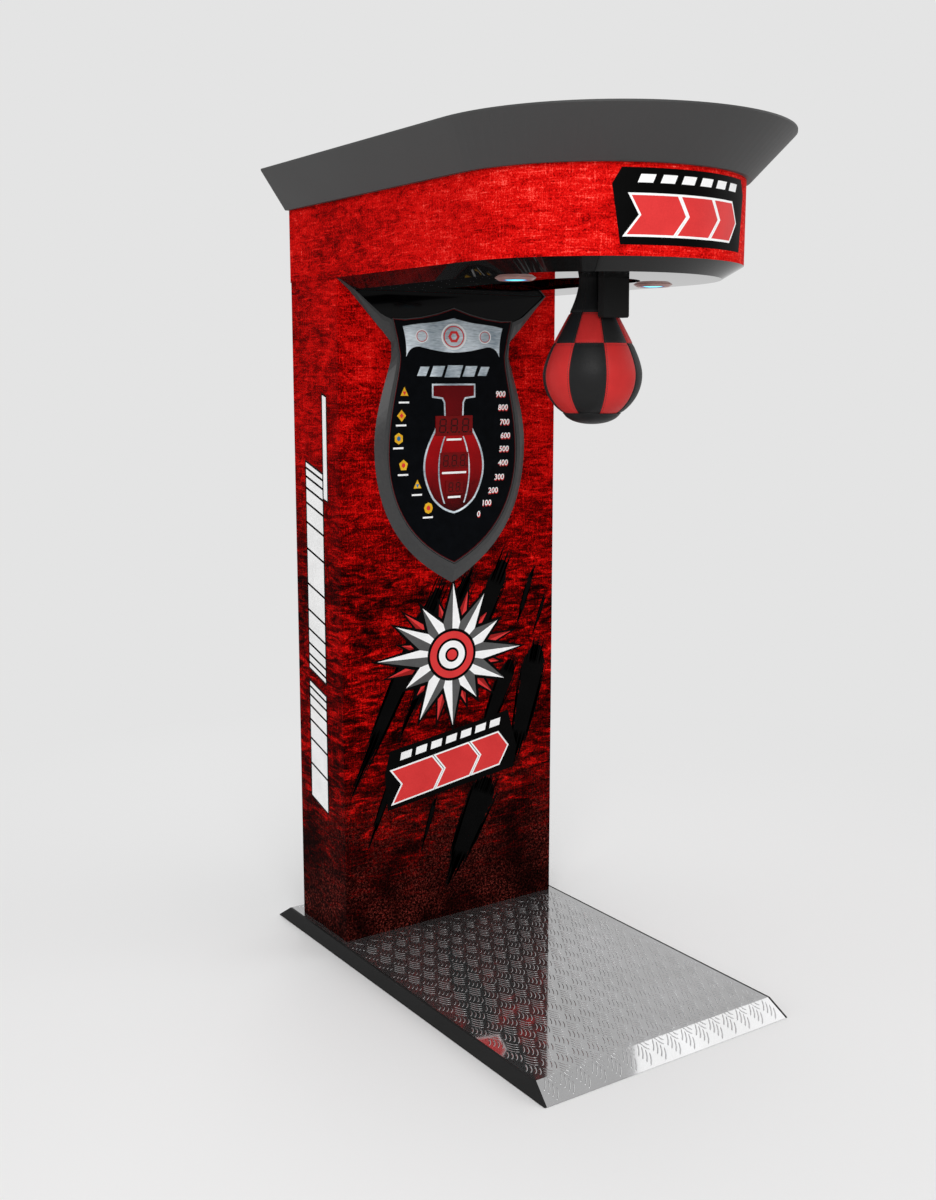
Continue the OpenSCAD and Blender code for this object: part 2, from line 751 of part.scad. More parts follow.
// The crown's flare: a foot plan and a wider top plan, blended
module crown_solid(foot_r, top_r, z0, z1, rear) {
    thin = 0.5;
    hull() {
        translate([0, 0, z0]) linear_extrude(thin) nose_plan(foot_r, -band_run, rear);
        translate([0, 0, z1 - thin]) linear_extrude(thin) nose_plan(top_r, -band_run - crown_shift, rear);
    }
}
crown_seat = 4;
module crown() {
    over = 0.6;
    rear = column_d - crown_t;
    color("#484848") machine() difference() {
        crown_solid(band_r + crown_ledge, crown_r, band_top, crown_top, column_d);
        crown_solid(band_r - crown_seat, crown_r - crown_t, band_top - over, crown_top + over, rear);
    }
}
module crown_lid() {
    color("#3c3c3c") machine() translate([0, 0, crown_top]) linear_extrude(lid_t)
        nose_plan(crown_r, -band_run - crown_shift, column_d);
}

// Section of the chamfered trim, drawn as distance from the nose's middle and height
trim_lip = 5;
module trim_section() {
    polygon([[band_r, seam_z], [trim_r, ceiling_z], [trim_r, ceiling_z + trim_lip], [band_r - 9, seam_z]]);
}
module chamfer_trim() {
    color("#3a3a3a") machine() {
        both_sides() rotate([90, 0, 0]) linear_extrude(band_run) trim_section();
        translate([0, -band_run, 0]) rotate([0, 0, 180]) rotate_extrude(angle = 180, $fn = fine) trim_section();
    }
}

module_r = 40;
module ceiling_plate() {
    color("#8a8a8a") machine() translate([0, 0, ceiling_z]) difference() {
        linear_extrude(ceiling_t) nose_plan(trim_r, -band_run, 0);
        translate([0, 0, -1]) linear_extrude(ceiling_t + 2) nose_plan(opening_half, opening_nose, opening_rear);
        both_sides() translate([light_x, -light_y, -1])
            cylinder(r = module_r + 0.5, h = ceiling_t + 2, $fn = bore_fn);
    }
}

module at_lights() { both_sides() translate([light_x, -light_y, ceiling_z]) children(); }
module light_rings() {
    d = light_drop;
    color("#8a6a66") machine() at_lights() rotate_extrude($fn = 64)
        polygon([[lens_r, -d + 1], [lens_r + 4, -d], [light_r - 9, -d], [light_r, -0.8],
            [light_r, 0], [lens_r, 0]]);
}
module light_lenses() {
    d = light_drop;
    color("#2fd8ff") machine() at_lights() rotate_extrude($fn = 64)
        polygon([[0, -d], [lens_r * 0.6, -d + 0.7], [lens_r, -d + 2.5], [lens_r, 0], [0, 0]]);
}
module light_modules() {
    color("silver") machine() at_lights() {
        cylinder(r = module_r, h = 26, $fn = bore_fn);
        translate([0, 0, ceiling_t]) cylinder(r = module_r + 7, h = 4, $fn = bore_fn);
    }
}

// Swing: everything round the axle is drawn from its middle
module at_axle() { machine() translate([0, -ball_reach, axle_z]) children(); }
bearing_r = 22;
bearing_reach = 65;
bearing_drop = 50;
plate_top = head_tube_z + head_tube - axle_z;
module bearing_plates() {
    color("dimgray") at_axle() both_sides() difference() {
        block([wall_x, -bearing_reach, -bearing_drop], [tube_gap, bumper_dist - head_tube / 2, plate_top]);
        rod_x(bearing_r + 0.5, wall_x - 1, tube_gap + 1);
    }
}
module flange_bearings() {
    color("gray") at_axle() both_sides() difference() {
        union() {
            rod_x(bearing_r, wall_x - 2, tube_gap + 14);
            rod_x(bearing_r + 12, tube_gap, tube_gap + 8);
        }
        rod_x(axle_r + run_gap, wall_x - 3, tube_gap + 15);
    }
}
module swing_axle() { color("silver") at_axle() rod_x(axle_r, -tube_gap - 16, tube_gap + 16); }

arm_end = 190;
module swing_arm() {
    color("#4a4a4a") at_axle() difference() {
        union() {
            rod_x(hub_r, -hub_len / 2, hub_len / 2);
            translate([0, 0, -arm_end]) cylinder(r = arm_r, h = arm_end, $fn = bore_fn);
            translate([0, 0, -hub_drop]) cylinder(r = neck_r + 1, h = 6, $fn = bore_fn);
        }
        rod_x(axle_r, -hub_len / 2 - 1, hub_len / 2 + 1);
    }
}

// Outline of the ball, from its lowest point up to the neck's top
function ball_outline() = let(r = belly_r, h = belly_h, s = shoulder_r, t = shoulder_h) concat(
    curve([[0, 0], [cap_r * 0.45, 0], [cap_r * 0.85, cap_h * 0.4], [cap_r, cap_h]], 6),
    curve([[cap_r + 1, cap_h + 0.5], [cap_r + 13, cap_h + 6], [r, h * 0.55], [r, h]], 10),
    curve([[r, h], [r, h + 41], [r - 40, h + 104], [s, t]], 10, 1),
    curve([[s, t], [s - 12, t + 27], [neck_r, neck_h - 58], [neck_r, neck_h - 34]], 6, 1),
    [[neck_r, neck_h]]);
module ball() {
    color("#c62a2a") machine() translate([0, -ball_reach, ball_z]) difference() {
        rotate_extrude($fn = fine) polygon(concat(ball_outline(), [[0, neck_h]]));
        translate([0, 0, ball_len - arm_end]) cylinder(r = arm_r, h = neck_h, $fn = bore_fn);
    }
}
module neck_clamp() {
    color("silver") machine() translate([0, -ball_reach, ball_z + neck_h - 24]) difference() {
        union() {
            cylinder(r = neck_r + 1.5, h = 14, $fn = fine);
            block([neck_r, -5, 2], [neck_r + 9, 5, 12]);
        }
        translate([0, 0, -1]) cylinder(r = neck_r, h = 16, $fn = fine);
    }
}

// Padded stop in front of the neck, and the bracket that carries it
stop_y = -ball_reach - stop_face;
pad_top = ceiling_z + 60;
module stop_pad() {
    half = stop_w / 2;
    z0 = ceiling_z - stop_drop;
    color("#1a1a1a") machine() upright(stop_y, stop_t) polygon([[-half, z0 + 4], [-half + 4, z0],
        [half - 4, z0], [half, z0 + 4], [half - 2, pad_top], [-half + 2, pad_top]]);
}
module stop_bracket() {
    half = stop_w / 2 - 8;
    y = stop_y - stop_t;
    color("dimgray") machine() {
        block([-half, y - bracket_t, ceiling_z + 8], [half, y, head_tube_z + head_tube]);
        block([-half, y, pad_top], [half, y + stop_t, pad_top + 6]);
    }
}

module up_bumper() {
    color("#1c1c1c") machine() translate([0, bumper_y, axle_z + arm_r + stop_gap])
        cylinder(r = 14, h = head_tube_z - axle_z - arm_r - stop_gap, $fn = bore_fn);
}

// Latch: a lever on the axle carries the catch pin, and the hook closes under it with the arm up
lever_x = hook_x - lever_t - 4;
module latch_lever() {
    color("gray") at_axle() difference() {
        union() {
            rod_x(18, lever_x - 2, lever_x + lever_t + 2);
            block([lever_x, -8, -catch_arm - 8], [lever_x + lever_t, 8, 0]);
            translate([0, 0, -catch_arm]) rod_x(catch_r, lever_x + lever_t - eps, hook_x + hook_t + 2);
        }
        rod_x(axle_r, lever_x - 3, lever_x + lever_t + 3);
    }
}

module at_hook() { at_axle() translate([0, catch_arm + hook_y, hook_z]) children(); }
module latch_plate() {
    color("dimgray") at_axle() {
        block([wall_x, bumper_dist + head_tube / 2, -5], [tube_gap, 240, plate_top]);
        translate([0, catch_arm + hook_y, hook_z]) rod_x(5, hook_x - 4, wall_x + 1);
    }
}
module latch_hook() {
    nose = hook_z + catch_r + 1;
    shank = hook_y - catch_r - 1.5;
    lip = shank + 19;
    color("silver") at_hook() rotate([hook_swing, 0, 0]) difference() {
        union() {
            across(hook_x, hook_x + hook_t) polygon([[-10, 0], [-shank, -hook_z + 5], [-shank, -nose],
                [-lip + 4, -nose], [-lip, -nose - 8], [-lip, -nose - 15], [-4, -nose - 15], [9, -tail], [10, 0]]);
            rod_x(10, hook_x, hook_x + hook_t);
            translate([0, 0, -tail]) rod_x(3, hook_x + hook_t - eps, hook_x + hook_t + 6, 24);
        }
        rod_x(5 + run_gap, hook_x - 1, hook_x + hook_t + 1);
    }
}

// Solenoid: its plunger pulls the hook's tail pin, which sits in an eye with room to tip
tail_y = tail * sin(hook_swing);
tail_z = -tail * cos(hook_swing);
plunger_x = wall_x - 9;
spring_len = 9;
module at_tail() { at_hook() translate([0, tail_y, (tail_z - tail) / 2]) children(); }
module solenoid_body() {
    color("#b8860b") at_tail() difference() {
        union() {
            block([wall_x - 26, solenoid_y - 24, -13], [wall_x, solenoid_y + 26, 13]);
            translate([plunger_x - 2, 0, 0]) rod_y(9, solenoid_y + 26, solenoid_y + 32, 32);
        }
        translate([plunger_x - 2, 0, 0]) rod_y(5 + run_gap, solenoid_y - 25, solenoid_y + 20);
    }
}
module solenoid_plunger() {
    color("silver") at_tail() {
        translate([plunger_x - 2, 0, 0]) {
            rod_y(5, 10, solenoid_y + 18);
            rod_y(8, solenoid_y - 24 - spring_len - 3, solenoid_y - 24 - spring_len - 0.5);
        }
        difference() {
            block([plunger_x - 0.5, -8, -8], [plunger_x + 2.5, 14, 8]);
            rod_x(4.4, plunger_x - 2, plunger_x + 4);
        }
    }
}
module plunger_spring() {
    turns = 4;
    wire = 0.8;
    steps = 12;
    y0 = solenoid_y - 24 - spring_len + wire / 2;
    run = spring_len - wire - 0.5;
    mid_r = 6.4;
    sides = 6;
    rings = turns * steps;
    function centre(i) = [mid_r * cos(360 * i / steps), y0 + run * i / rings, mid_r * sin(360 * i / steps)];
    function point(i, k) = let(a = 360 * i / steps, b = 360 * k / sides, r = mid_r + wire / 2 * cos(b))
        [r * cos(a), y0 + run * i / rings + wire / 2 * sin(b), r * sin(a)];
    points = [for (i = [0:rings], k = [0:sides - 1]) point(i, k)];
    walls = [for (i = [0:rings - 1], k = [0:sides - 1])
        [i * sides + k, i * sides + (k + 1) % sides, (i + 1) * sides + (k + 1) % sides, (i + 1) * sides + k]];
    ends = [[for (k = [sides - 1:-1:0]) k], [for (k = [0:sides - 1]) rings * sides + k]];
    color("silver") at_tail() translate([plunger_x - 2, 0, 0]) polyhedron(points, concat(walls, ends));
}

// Speed sensing: a notched disc on the axle runs in a forked sensor
disc_r = 50;
disc_x = -wall_x + 26;
module speed_disc() {
    color("#303030") at_axle() difference() {
        union() {
            rod_x(disc_r, disc_x, disc_x + 3, fine);
            rod_x(16, disc_x - 6, disc_x + 10);
        }
        for (a = [0:30:330]) rotate([a, 0, 0])
            block([disc_x - 1, -2.5, disc_r - 9], [disc_x + 4, 2.5, disc_r + 1]);
        rod_x(axle_r, disc_x - 7, disc_x + 11);
    }
}
module speed_sensor() {
    color("#181818") at_axle() difference() {
        block([-wall_x, -9, disc_r - 14], [disc_x + 12, 9, disc_r + 14]);
        block([disc_x - 2, -10, disc_r - 15], [disc_x + 5, 10, disc_r + 4]);
        block([-wall_x - 1, -10, disc_r - 15], [disc_x - 9, 10, disc_r + 2]);
    }
}

// Shield: outlines of x and z down its right side, mirrored for the left. Its ears run up under the
// chamfer trim to the column's corners
ear_z = 1772;
waist_z = 1728;
shield_mid = 1480;
ear_gap = 0.4;
face_top = 1842;
function mirrored(p) = concat(p, [for (i = [len(p) - 1:-1:0]) if (p[i][0] > 0) [-p[i][0], p[i][1]]]);
function border_outer() = let(w = waist_half, h = shield_half, m = shield_mid) concat(
    [[plate_x - 1, seam_z - 2 - ear_gap], [ear_half, ceiling_z - ear_gap], [ear_half - 94, ceiling_z - 99],
        [ear_half - 103, ceiling_z - 107], [ear_half - 105, ceiling_z - 109], [w, ear_z]],
    curve([[w, waist_z], [w + 17, waist_z - 60], [h, m + 88], [h, m]], 10),
    curve([[h, m], [h, m - 257], [h - 157, tip_z + 58], [0, tip_z]], 16, 1));
face_tip = tip_z + 57;
function border_inner() = let(w = waist_half - 19, h = shield_half - 36, m = shield_mid - 20) concat(
    [[plate_x - 6, seam_z - 5 - ear_gap], [trim_r, ceiling_z - ear_gap], [ear_half - 92, face_top + 8],
        [ear_half - 108, face_top], [w + 22, face_top - 8], [w + 9, ear_z + 10]],
    curve([[w, waist_z + 7], [w, waist_z - 50], [h - 2, m + 125], [h, m]], 10),
    curve([[h, m], [h, m - 154], [h - 79, face_tip + 63], [0, face_tip]], 16, 1));
function face_outline() = mirrored([for (i = [1:len(border_inner()) - 1]) border_inner()[i]]);
module shield_border() {
    outer = mirrored(border_outer());
    inner = mirrored(border_inner());
    n = len(outer);
    crest = [for (i = [0:n - 1]) outer[i] + 0.68 * (inner[i] - outer[i])];
    points = concat([for (p = outer) [p[0], 0, p[1]]], [for (p = crest) [p[0], -border_t, p[1]]],
        [for (p = inner) [p[0], -border_t, p[1]]], [for (p = inner) [p[0], 0, p[1]]]);
    walls = [for (r = [0:3], k = [0:n - 2])
        [r * n + k, r * n + k + 1, ((r + 1) % 4) * n + k + 1, ((r + 1) % 4) * n + k]];
    ends = [[0, n, 2 * n, 3 * n], [4 * n - 1, 3 * n - 1, 2 * n - 1, n - 1]];
    halves = [for (q = concat(walls, ends), t = [[0, 1, 2], [0, 2, 3]]) [for (c = t) q[c]]];
    color("#454545") machine() polyhedron(points, halves);
}
module shield_backing() {
    color("#0c0c0c") machine() difference() {
        upright(0, backing_t) polygon(face_outline());
        led_cuts(-backing_t - 1, 1);
    }
}
module display_plate() {
    t = face_top;
    peak = [[0, t + 28], [57, t + 11], [110, t], [165, t - 6], [ear_half, t - 4]];
    peak_left = [for (i = [len(peak) - 1:-1:1]) [-peak[i][0], peak[i][1]]];
    color("#101012") machine() difference() {
        upright(-backing_t, display_t) intersection() {
            offset(delta = -display_gap) polygon(face_outline());
            polygon(concat(peak_left, peak, [[ear_half, tip_z], [-ear_half, tip_z]]));
        }
        led_cuts(-backing_t - display_t - 1, 0);
    }
}
module led_displays() {
    front = -backing_t - display_t;
    color("#5a1010") machine() for (l = leds) translate([0, 0, l[0]]) {
        half_w = l[1] / 2;
        half_h = l[2] / 2;
        block([-half_w, front - 2, -half_h], [half_w, front, half_h]);
        block([-half_w + 2 * led_gap, front - eps, -half_h + 2 * led_gap],
            [half_w - 2 * led_gap, panel_t + 6, half_h - 2 * led_gap]);
    }
}

base_frame();
tread_plate();
base_skirt_left();
base_skirt_right();
floor_pads();
column_bolts();
column_frame();
front_panel();
left_panel();
right_panel();
rear_panel();
service_door();
door_hinge_fixed();
door_hinge_moving();
lock_housing();
lock_cam();
rear_grilles();
speaker();
control_board();
power_supply();
power_inlet();
power_rocker();
coin_plate();
coin_screws();
coin_cup();
coin_flap();
coin_button();
coin_acceptor();
coin_chute();
cash_box();
head_frame();
head_band();
crown();
crown_lid();
chamfer_trim();
ceiling_plate();
light_rings();
light_lenses();
light_modules();
bearing_plates();
flange_bearings();
swing_axle();
swing_arm();
ball();
neck_clamp();
stop_pad();
stop_bracket();
up_bumper();
latch_lever();
latch_plate();
latch_hook();
solenoid_body();
solenoid_plunger();
plunger_spring();
speed_disc();
speed_sensor();
shield_border();
shield_backing();
display_plate();
led_displays();
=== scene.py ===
import math
import random
import bmesh
import bpy
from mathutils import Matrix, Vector
from mathutils.geometry import tessellate_polygon


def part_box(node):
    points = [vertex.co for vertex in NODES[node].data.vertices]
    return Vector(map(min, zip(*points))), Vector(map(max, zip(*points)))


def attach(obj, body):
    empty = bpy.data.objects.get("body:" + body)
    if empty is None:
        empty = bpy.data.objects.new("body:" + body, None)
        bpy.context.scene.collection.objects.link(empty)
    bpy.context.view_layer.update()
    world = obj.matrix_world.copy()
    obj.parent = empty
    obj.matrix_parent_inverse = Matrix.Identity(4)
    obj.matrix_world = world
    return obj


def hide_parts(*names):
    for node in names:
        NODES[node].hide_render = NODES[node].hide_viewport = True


bl_info = {
    "name": "Punch Ball Machine",
    "version": (1, 0, 0),
    "blender": (4, 5, 0),
    "location": "3D View > Sidebar > Punch Ball",
    "description": "Dresses a punch ball machine: wrap, ball, tread plate, display and fittings",
    "category": "Object",
}

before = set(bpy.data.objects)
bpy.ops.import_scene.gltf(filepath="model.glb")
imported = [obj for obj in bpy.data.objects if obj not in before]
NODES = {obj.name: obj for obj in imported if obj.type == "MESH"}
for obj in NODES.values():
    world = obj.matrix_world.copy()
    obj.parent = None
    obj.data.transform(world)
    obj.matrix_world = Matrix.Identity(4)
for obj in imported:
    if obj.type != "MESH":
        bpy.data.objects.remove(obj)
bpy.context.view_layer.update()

# Work coordinates are millimetres from the column's front face, on the floor, in the middle
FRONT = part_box("front_panel")[0][1]


def at(x, y, z):
    """A point given in work millimetres, in the frame's metres."""
    return Vector((x / 1000, y / 1000 + FRONT, z / 1000))


def linear(code):
    """An sRGB hex colour as linear RGBA."""
    parts = [int(code[i:i + 2], 16) / 255 for i in (1, 3, 5)]
    return tuple(c / 12.92 if c <= 0.04045 else ((c + 0.055) / 1.055) ** 2.4 for c in parts) + (1.0,)


# Sizes of the machine in millimetres, as in the part's source
COLUMN_HALF = 372.5
REAR_Y = 270
DECK_Z = 40
DECK_FRONT = 944
DECK_REAR = 327
RAMP_RUN = 57
RAMP_RISE = 39
CEILING_Z = 1912
SEAM_Z = 1942
BAND_HALF = 375
BAND_RUN = 623
LIGHT_X = 219
LIGHT_Y = -612
LENS_R = 31
BALL_Y = -640
BALL_Z = 1560
NECK_TOP = 388
DISPLAY_Y = -11
LED_Y = -13
COIN_Y = 132.5
COIN_Z = 1055
COIN_PLATE = (940, 1170)
COIN_PLATE_T = 4
BOARD_FACE = 24.1


class MachineSizes(bpy.types.PropertyGroup):
    """Sizes of the dressing that a user would change."""

    bar_height: bpy.props.FloatProperty(
        name="Tread bar height", description="How far the tread plate's bars stand proud",
        default=0.0005, min=0.0003, max=0.002, unit="LENGTH")
    seam_depth: bpy.props.FloatProperty(
        name="Seam depth", description="How deep the ball's panels pull in at their seams",
        default=0.0026, min=0.0, max=0.005, unit="LENGTH")
    stitch: bpy.props.FloatProperty(
        name="Stitch length", description="Length of one stitch of the ball's seams",
        default=0.0045, min=0.003, max=0.01, unit="LENGTH")
    film: bpy.props.FloatProperty(
        name="Film thickness", description="How far printed and cut films stand proud",
        default=0.0004, min=0.0002, max=0.001, unit="LENGTH")
    edge: bpy.props.FloatProperty(
        name="Edge softness", description="Width of the rounding on plain plates and boards",
        default=0.0012, min=0.0, max=0.004, unit="LENGTH")


class MachineColours(bpy.types.PropertyGroup):
    """Colours that a user would change."""

    wrap: bpy.props.FloatVectorProperty(
        name="Wrap", description="Main red of the printed wrap",
        default=linear("#c70c0a")[:3], size=3, min=0, max=1, subtype="COLOR")
    ball: bpy.props.FloatVectorProperty(
        name="Ball", description="Red leather of the ball",
        default=linear("#c82c2b")[:3], size=3, min=0, max=1, subtype="COLOR")
    crown: bpy.props.FloatVectorProperty(
        name="Crown", description="Charcoal of the crown",
        default=linear("#434343")[:3], size=3, min=0, max=1, subtype="COLOR")
    lamp: bpy.props.FloatVectorProperty(
        name="Lights", description="Glow of the two ceiling lights",
        default=linear("#2fd8ff")[:3], size=3, min=0, max=1, subtype="COLOR")


def sizes():
    return bpy.context.scene.punch_sizes


def colour(name, share=1.0):
    """A colour of the machine, or a darker share of it."""
    return tuple(c * share for c in getattr(bpy.context.scene.punch_colours, name)) + (1.0,)


# Materials

MADE = {}


def feed(tree, node, inputs):
    """Gives inputs, by name or in order, a value, a node's first output or a chosen output."""
    for key, value in inputs.items() if isinstance(inputs, dict) else enumerate(inputs):
        if isinstance(value, bpy.types.Node):
            value = value.outputs[0]
        if isinstance(value, bpy.types.NodeSocket):
            tree.links.new(value, node.inputs[key])
        else:
            node.inputs[key].default_value = value


def add(tree, kind, inputs=(), stops=(), **settings):
    """Adds one node: its settings, its ramp's stops (each a colour or a grey value) and its inputs."""
    node = tree.nodes.new("ShaderNode" + kind)
    for name, value in settings.items():
        setattr(node, name, value)
    for i, (place, value) in enumerate(stops):
        element = node.color_ramp.elements[i] if i < 2 else node.color_ramp.elements.new(place)
        element.position = place
        element.color = value if isinstance(value, tuple) else (value, value, value, 1.0)
    feed(tree, node, inputs)
    return node


def start(name, **sockets):
    """A new material: its tree, its principled shader with constants set, and object coordinates."""
    material = bpy.data.materials.new(name)
    material.use_nodes = True
    tree = material.node_tree
    shader = tree.nodes["Principled BSDF"]
    feed(tree, shader, {socket.replace("_", " "): value for socket, value in sockets.items()})
    return material, tree, shader, add(tree, "TexCoord").outputs["Object"]


def pattern(tree, where, size, stretch=(1, 1, 1), detail=2.0, rough=0.5, warp=0.0):
    """Noise whose features are size millimetres across, drawn out along the axes by stretch."""
    sized = add(tree, "Mapping", {"Vector": where, "Scale": [1000 / (size * s) for s in stretch]})
    return add(tree, "TexNoise", {"Vector": sized, "Scale": 1.0, "Detail": detail, "Roughness": rough,
                                  "Distortion": warp})


def total(tree, parts, offset=0.0):
    """An offset and the sum of outputs, each times its weight."""
    for part, weight in parts:
        offset = add(tree, "Math", [part, weight, offset], operation="MULTIPLY_ADD")
    return offset


def coated(name, dark, light, mottle, grain, rough, bump, metallic=0.0, stretch=(1, 1, 1), graded=None,
           **sockets):
    """A plain finish with its own mottling, and a grain that breaks up its gloss and its surface. Mottle,
    grain and bump are in millimetres. Real grain of this kind is 0.05 to 0.5 mm wide and would not show, so
    it is drawn 1 to 4 mm wide, and 60 mm wide on lacquers, which only wave. With graded, a pair of heights
    in millimetres, the finish also lightens from the lower to the higher."""
    material, tree, shader, where = start(name, Metallic=metallic, **sockets)
    cloud = pattern(tree, where, mottle, detail=3.0)
    fine = pattern(tree, where, grain, stretch)
    if graded:
        height = add(tree, "SeparateXYZ", [where]).outputs["Z"]
        rise = add(tree, "MapRange", [height, graded[0] / 1000, graded[1] / 1000])
        tone = total(tree, [(cloud, 0.2), (fine, 0.1), (rise, 0.36)], 0.17)
    else:
        tone = total(tree, [(cloud, 0.6), (fine, 0.4)])
    paint = add(tree, "ValToRGB", [tone], [(0.32, dark), (0.68, light)])
    shine = add(tree, "MapRange", [tone, 0.3, 0.7, *rough])
    relief = add(tree, "Bump", {"Height": fine, "Strength": 0.6, "Distance": bump / 1000})
    feed(tree, shader, {"Base Color": paint, "Roughness": shine, "Normal": relief})
    return material


def plain(dark, light, *details, **settings):
    """What makes a coated finish between two hex tones, once its name is known."""
    return lambda name: coated(name, linear(dark), linear(light), *details, **settings)


def screen_ink(dark, light, mottle=60, gloss=0.12):
    """A screen-printed ink: opaque, satin, with the faint cloudiness of a hand-pulled print."""
    return plain(dark, light, mottle, 3, (0.38, 0.48), 0.01, Specular_IOR_Level=gloss)


def printed_wrap(name):
    """Printed vinyl film, satin laminated, on fibreboard: grainy red ink with wavy blotches and thin light
    scratches, that darkens towards the floor. The eye gets a worn, cloth-like print and hardly any sheen.
    Print dots are 0.1 mm wide and scratches 0.5 mm: they are drawn 4 and 3.2 mm wide, so that they show."""
    material, tree, shader, where = start(name, Specular_IOR_Level=0.004)
    cloud = pattern(tree, where, 170, detail=4.0, rough=0.6)
    wave = pattern(tree, where, 24, (3.5, 3.5, 1), detail=5.0, rough=0.6, warp=1.2)
    grain = pattern(tree, where, 4.0, detail=4.0, rough=0.8)
    specks = pattern(tree, where, 7, detail=4.0, rough=0.85)
    runs = [pattern(tree, where, 3.2, stretch, detail=3.0, rough=0.65)
            for stretch in ((1, 1, 20), (18, 18, 1))]
    upright, level = [add(tree, "MapRange", [run, 0.54, 0.74]) for run in runs]
    x, y, z = add(tree, "SeparateXYZ", [where]).outputs
    rise = add(tree, "MapRange", [z, 0.05, 2.1])
    fade = add(tree, "ValToRGB", [rise], [
        (0.0, 0.09), (1.0, 0.515), (0.06, 0.15), (0.11, 0.22), (0.18, 0.31), (0.27, 0.35), (0.42, 0.355),
        (0.50, 0.33), (0.60, 0.40), (0.70, 0.465), (0.78, 0.475), (0.92, 0.50), (0.924, 0.495)])
    # Painted light: the print is drawn lighter towards the machine's front, up to the head's nose
    nose = add(tree, "MapRange", [y, 0.36, -0.10, 0.0, 0.075])
    # Painted light and shade: the print is drawn lighter to the right in its upper part, and darker to the
    # right near the floor
    slope = add(tree, "MapRange", [z, 0.5, 1.15, -0.07, 0.06])
    across = add(tree, "Math", [x, COLUMN_HALF / 1000], operation="ADD")
    tilt = add(tree, "Math", [slope, across], operation="MULTIPLY")
    # The blotches stand out most between knee and breast height
    bold = add(tree, "ValToRGB", [rise], [
        (0.0, 0.10), (1.0, 0.15), (0.11, 0.45), (0.22, 0.70), (0.48, 0.70), (0.58, 0.25)])
    blotch = add(tree, "Math", [total(tree, [(wave, 1.0)], -0.5), bold], operation="MULTIPLY")
    mixed = total(tree, [(cloud, 0.30), (wave, 0.34), (grain, 0.92), (upright, 0.15), (level, 0.17),
                         (blotch, 1.0), (fade, 0.90), (nose, 1.0), (tilt, 1.0)], -0.75)
    ink = add(tree, "ValToRGB", [mixed], [
        (0.0, linear("#020101")), (1.0, linear("#ffb0a6")), (0.25, linear("#160202")),
        (0.42, colour("wrap", 0.22)), (0.56, colour("wrap")), (0.68, linear("#e81410")),
        (0.82, linear("#ff5a4c"))])
    # Worn specks show through the dark ink near the floor
    bare = add(tree, "MapRange", [specks, 0.50, 0.66])
    low = add(tree, "MapRange", [z, 0.10, 0.62, 0.5, 0.0])
    patches = add(tree, "MapRange", [cloud, 0.40, 0.60, 0.2, 1.25])
    share = add(tree, "Math", [low, patches], operation="MULTIPLY")
    worn = add(tree, "Math", [bare, share], operation="MULTIPLY")
    printed = add(tree, "Mix", {0: worn, 6: ink, 7: linear("#b0483e")}, data_type="RGBA")
    # The film covers the outer faces and the rear edges; elsewhere the board is raw
    near = 0.0006
    outside = add(tree, "Math", [x], operation="ABSOLUTE")
    skin = add(tree, "Math", [outside, COLUMN_HALF / 1000 - near], operation="GREATER_THAN")
    for place, edge, test in ((y, FRONT + near, "LESS_THAN"),
                              (y, FRONT + REAR_Y / 1000 - near, "GREATER_THAN"),
                              (z, SEAM_Z / 1000, "GREATER_THAN")):
        found = add(tree, "Math", [place, edge], operation=test)
        skin = add(tree, "Math", [skin, found], operation="MAXIMUM")
    board = add(tree, "ValToRGB", [specks], [(0.3, linear("#7c6040")), (0.7, linear("#a4835c"))])
    face = add(tree, "Mix", {0: skin, 6: board, 7: printed.outputs[2]}, data_type="RGBA")
    shine = add(tree, "MapRange", [grain, 0.3, 0.7, 0.42, 0.58])
    relief = add(tree, "Bump", {"Height": grain, "Strength": 0.25, "Distance": 0.0002})
    feed(tree, shader, {"Base Color": face.outputs[2], "Roughness": shine, "Normal": relief})
    return material


def leather(name, tone, shade):
    """Chrome-tanned cowhide, dyed and matt finished: pebbled, with a soft sheen on the crowns of the pebbles
    and slightly worn colour between them. Real pebbles are about 1 mm wide; they are drawn 2.6 mm wide."""
    material, tree, shader, where = start(name, Specular_IOR_Level=0.16)
    cloud = pattern(tree, where, 60, detail=3.0)
    sized = add(tree, "Mapping", {"Vector": where, "Scale": (1000 / 2.6,) * 3})
    pebbles = add(tree, "TexVoronoi", {"Vector": sized, "Scale": 1.0}, feature="F1")
    paint = add(tree, "ValToRGB", [cloud], [(0.3, shade), (0.7, tone)])
    shine = add(tree, "MapRange", [pebbles, 0.0, 0.8, 0.36, 0.56])
    relief = add(tree, "Bump", {"Height": pebbles, "Strength": 0.35, "Distance": 0.0004}, invert=True)
    feed(tree, shader, {"Base Color": paint, "Roughness": shine, "Normal": relief})
    return material


def circuit_board(name):
    """Glass-fibre board under green solder mask: glossy, with the weave's faint mottling. What stands on it
    is moulded in black."""
    material = plain("#0c3a20", "#165a32", 14, 1.6, (0.2, 0.32), 0.04)(name)
    tree = material.node_tree
    shader = tree.nodes["Principled BSDF"]
    mask = shader.inputs["Base Color"].links[0].from_socket
    depth = add(tree, "SeparateXYZ", [add(tree, "TexCoord").outputs["Object"]]).outputs["Y"]
    raised = add(tree, "Math", [depth, FRONT + BOARD_FACE / 1000], operation="GREATER_THAN")
    body = add(tree, "Mix", {0: raised, 6: mask, 7: linear("#141415")}, data_type="RGBA")
    feed(tree, shader, {"Base Color": body.outputs[2]})
    return material


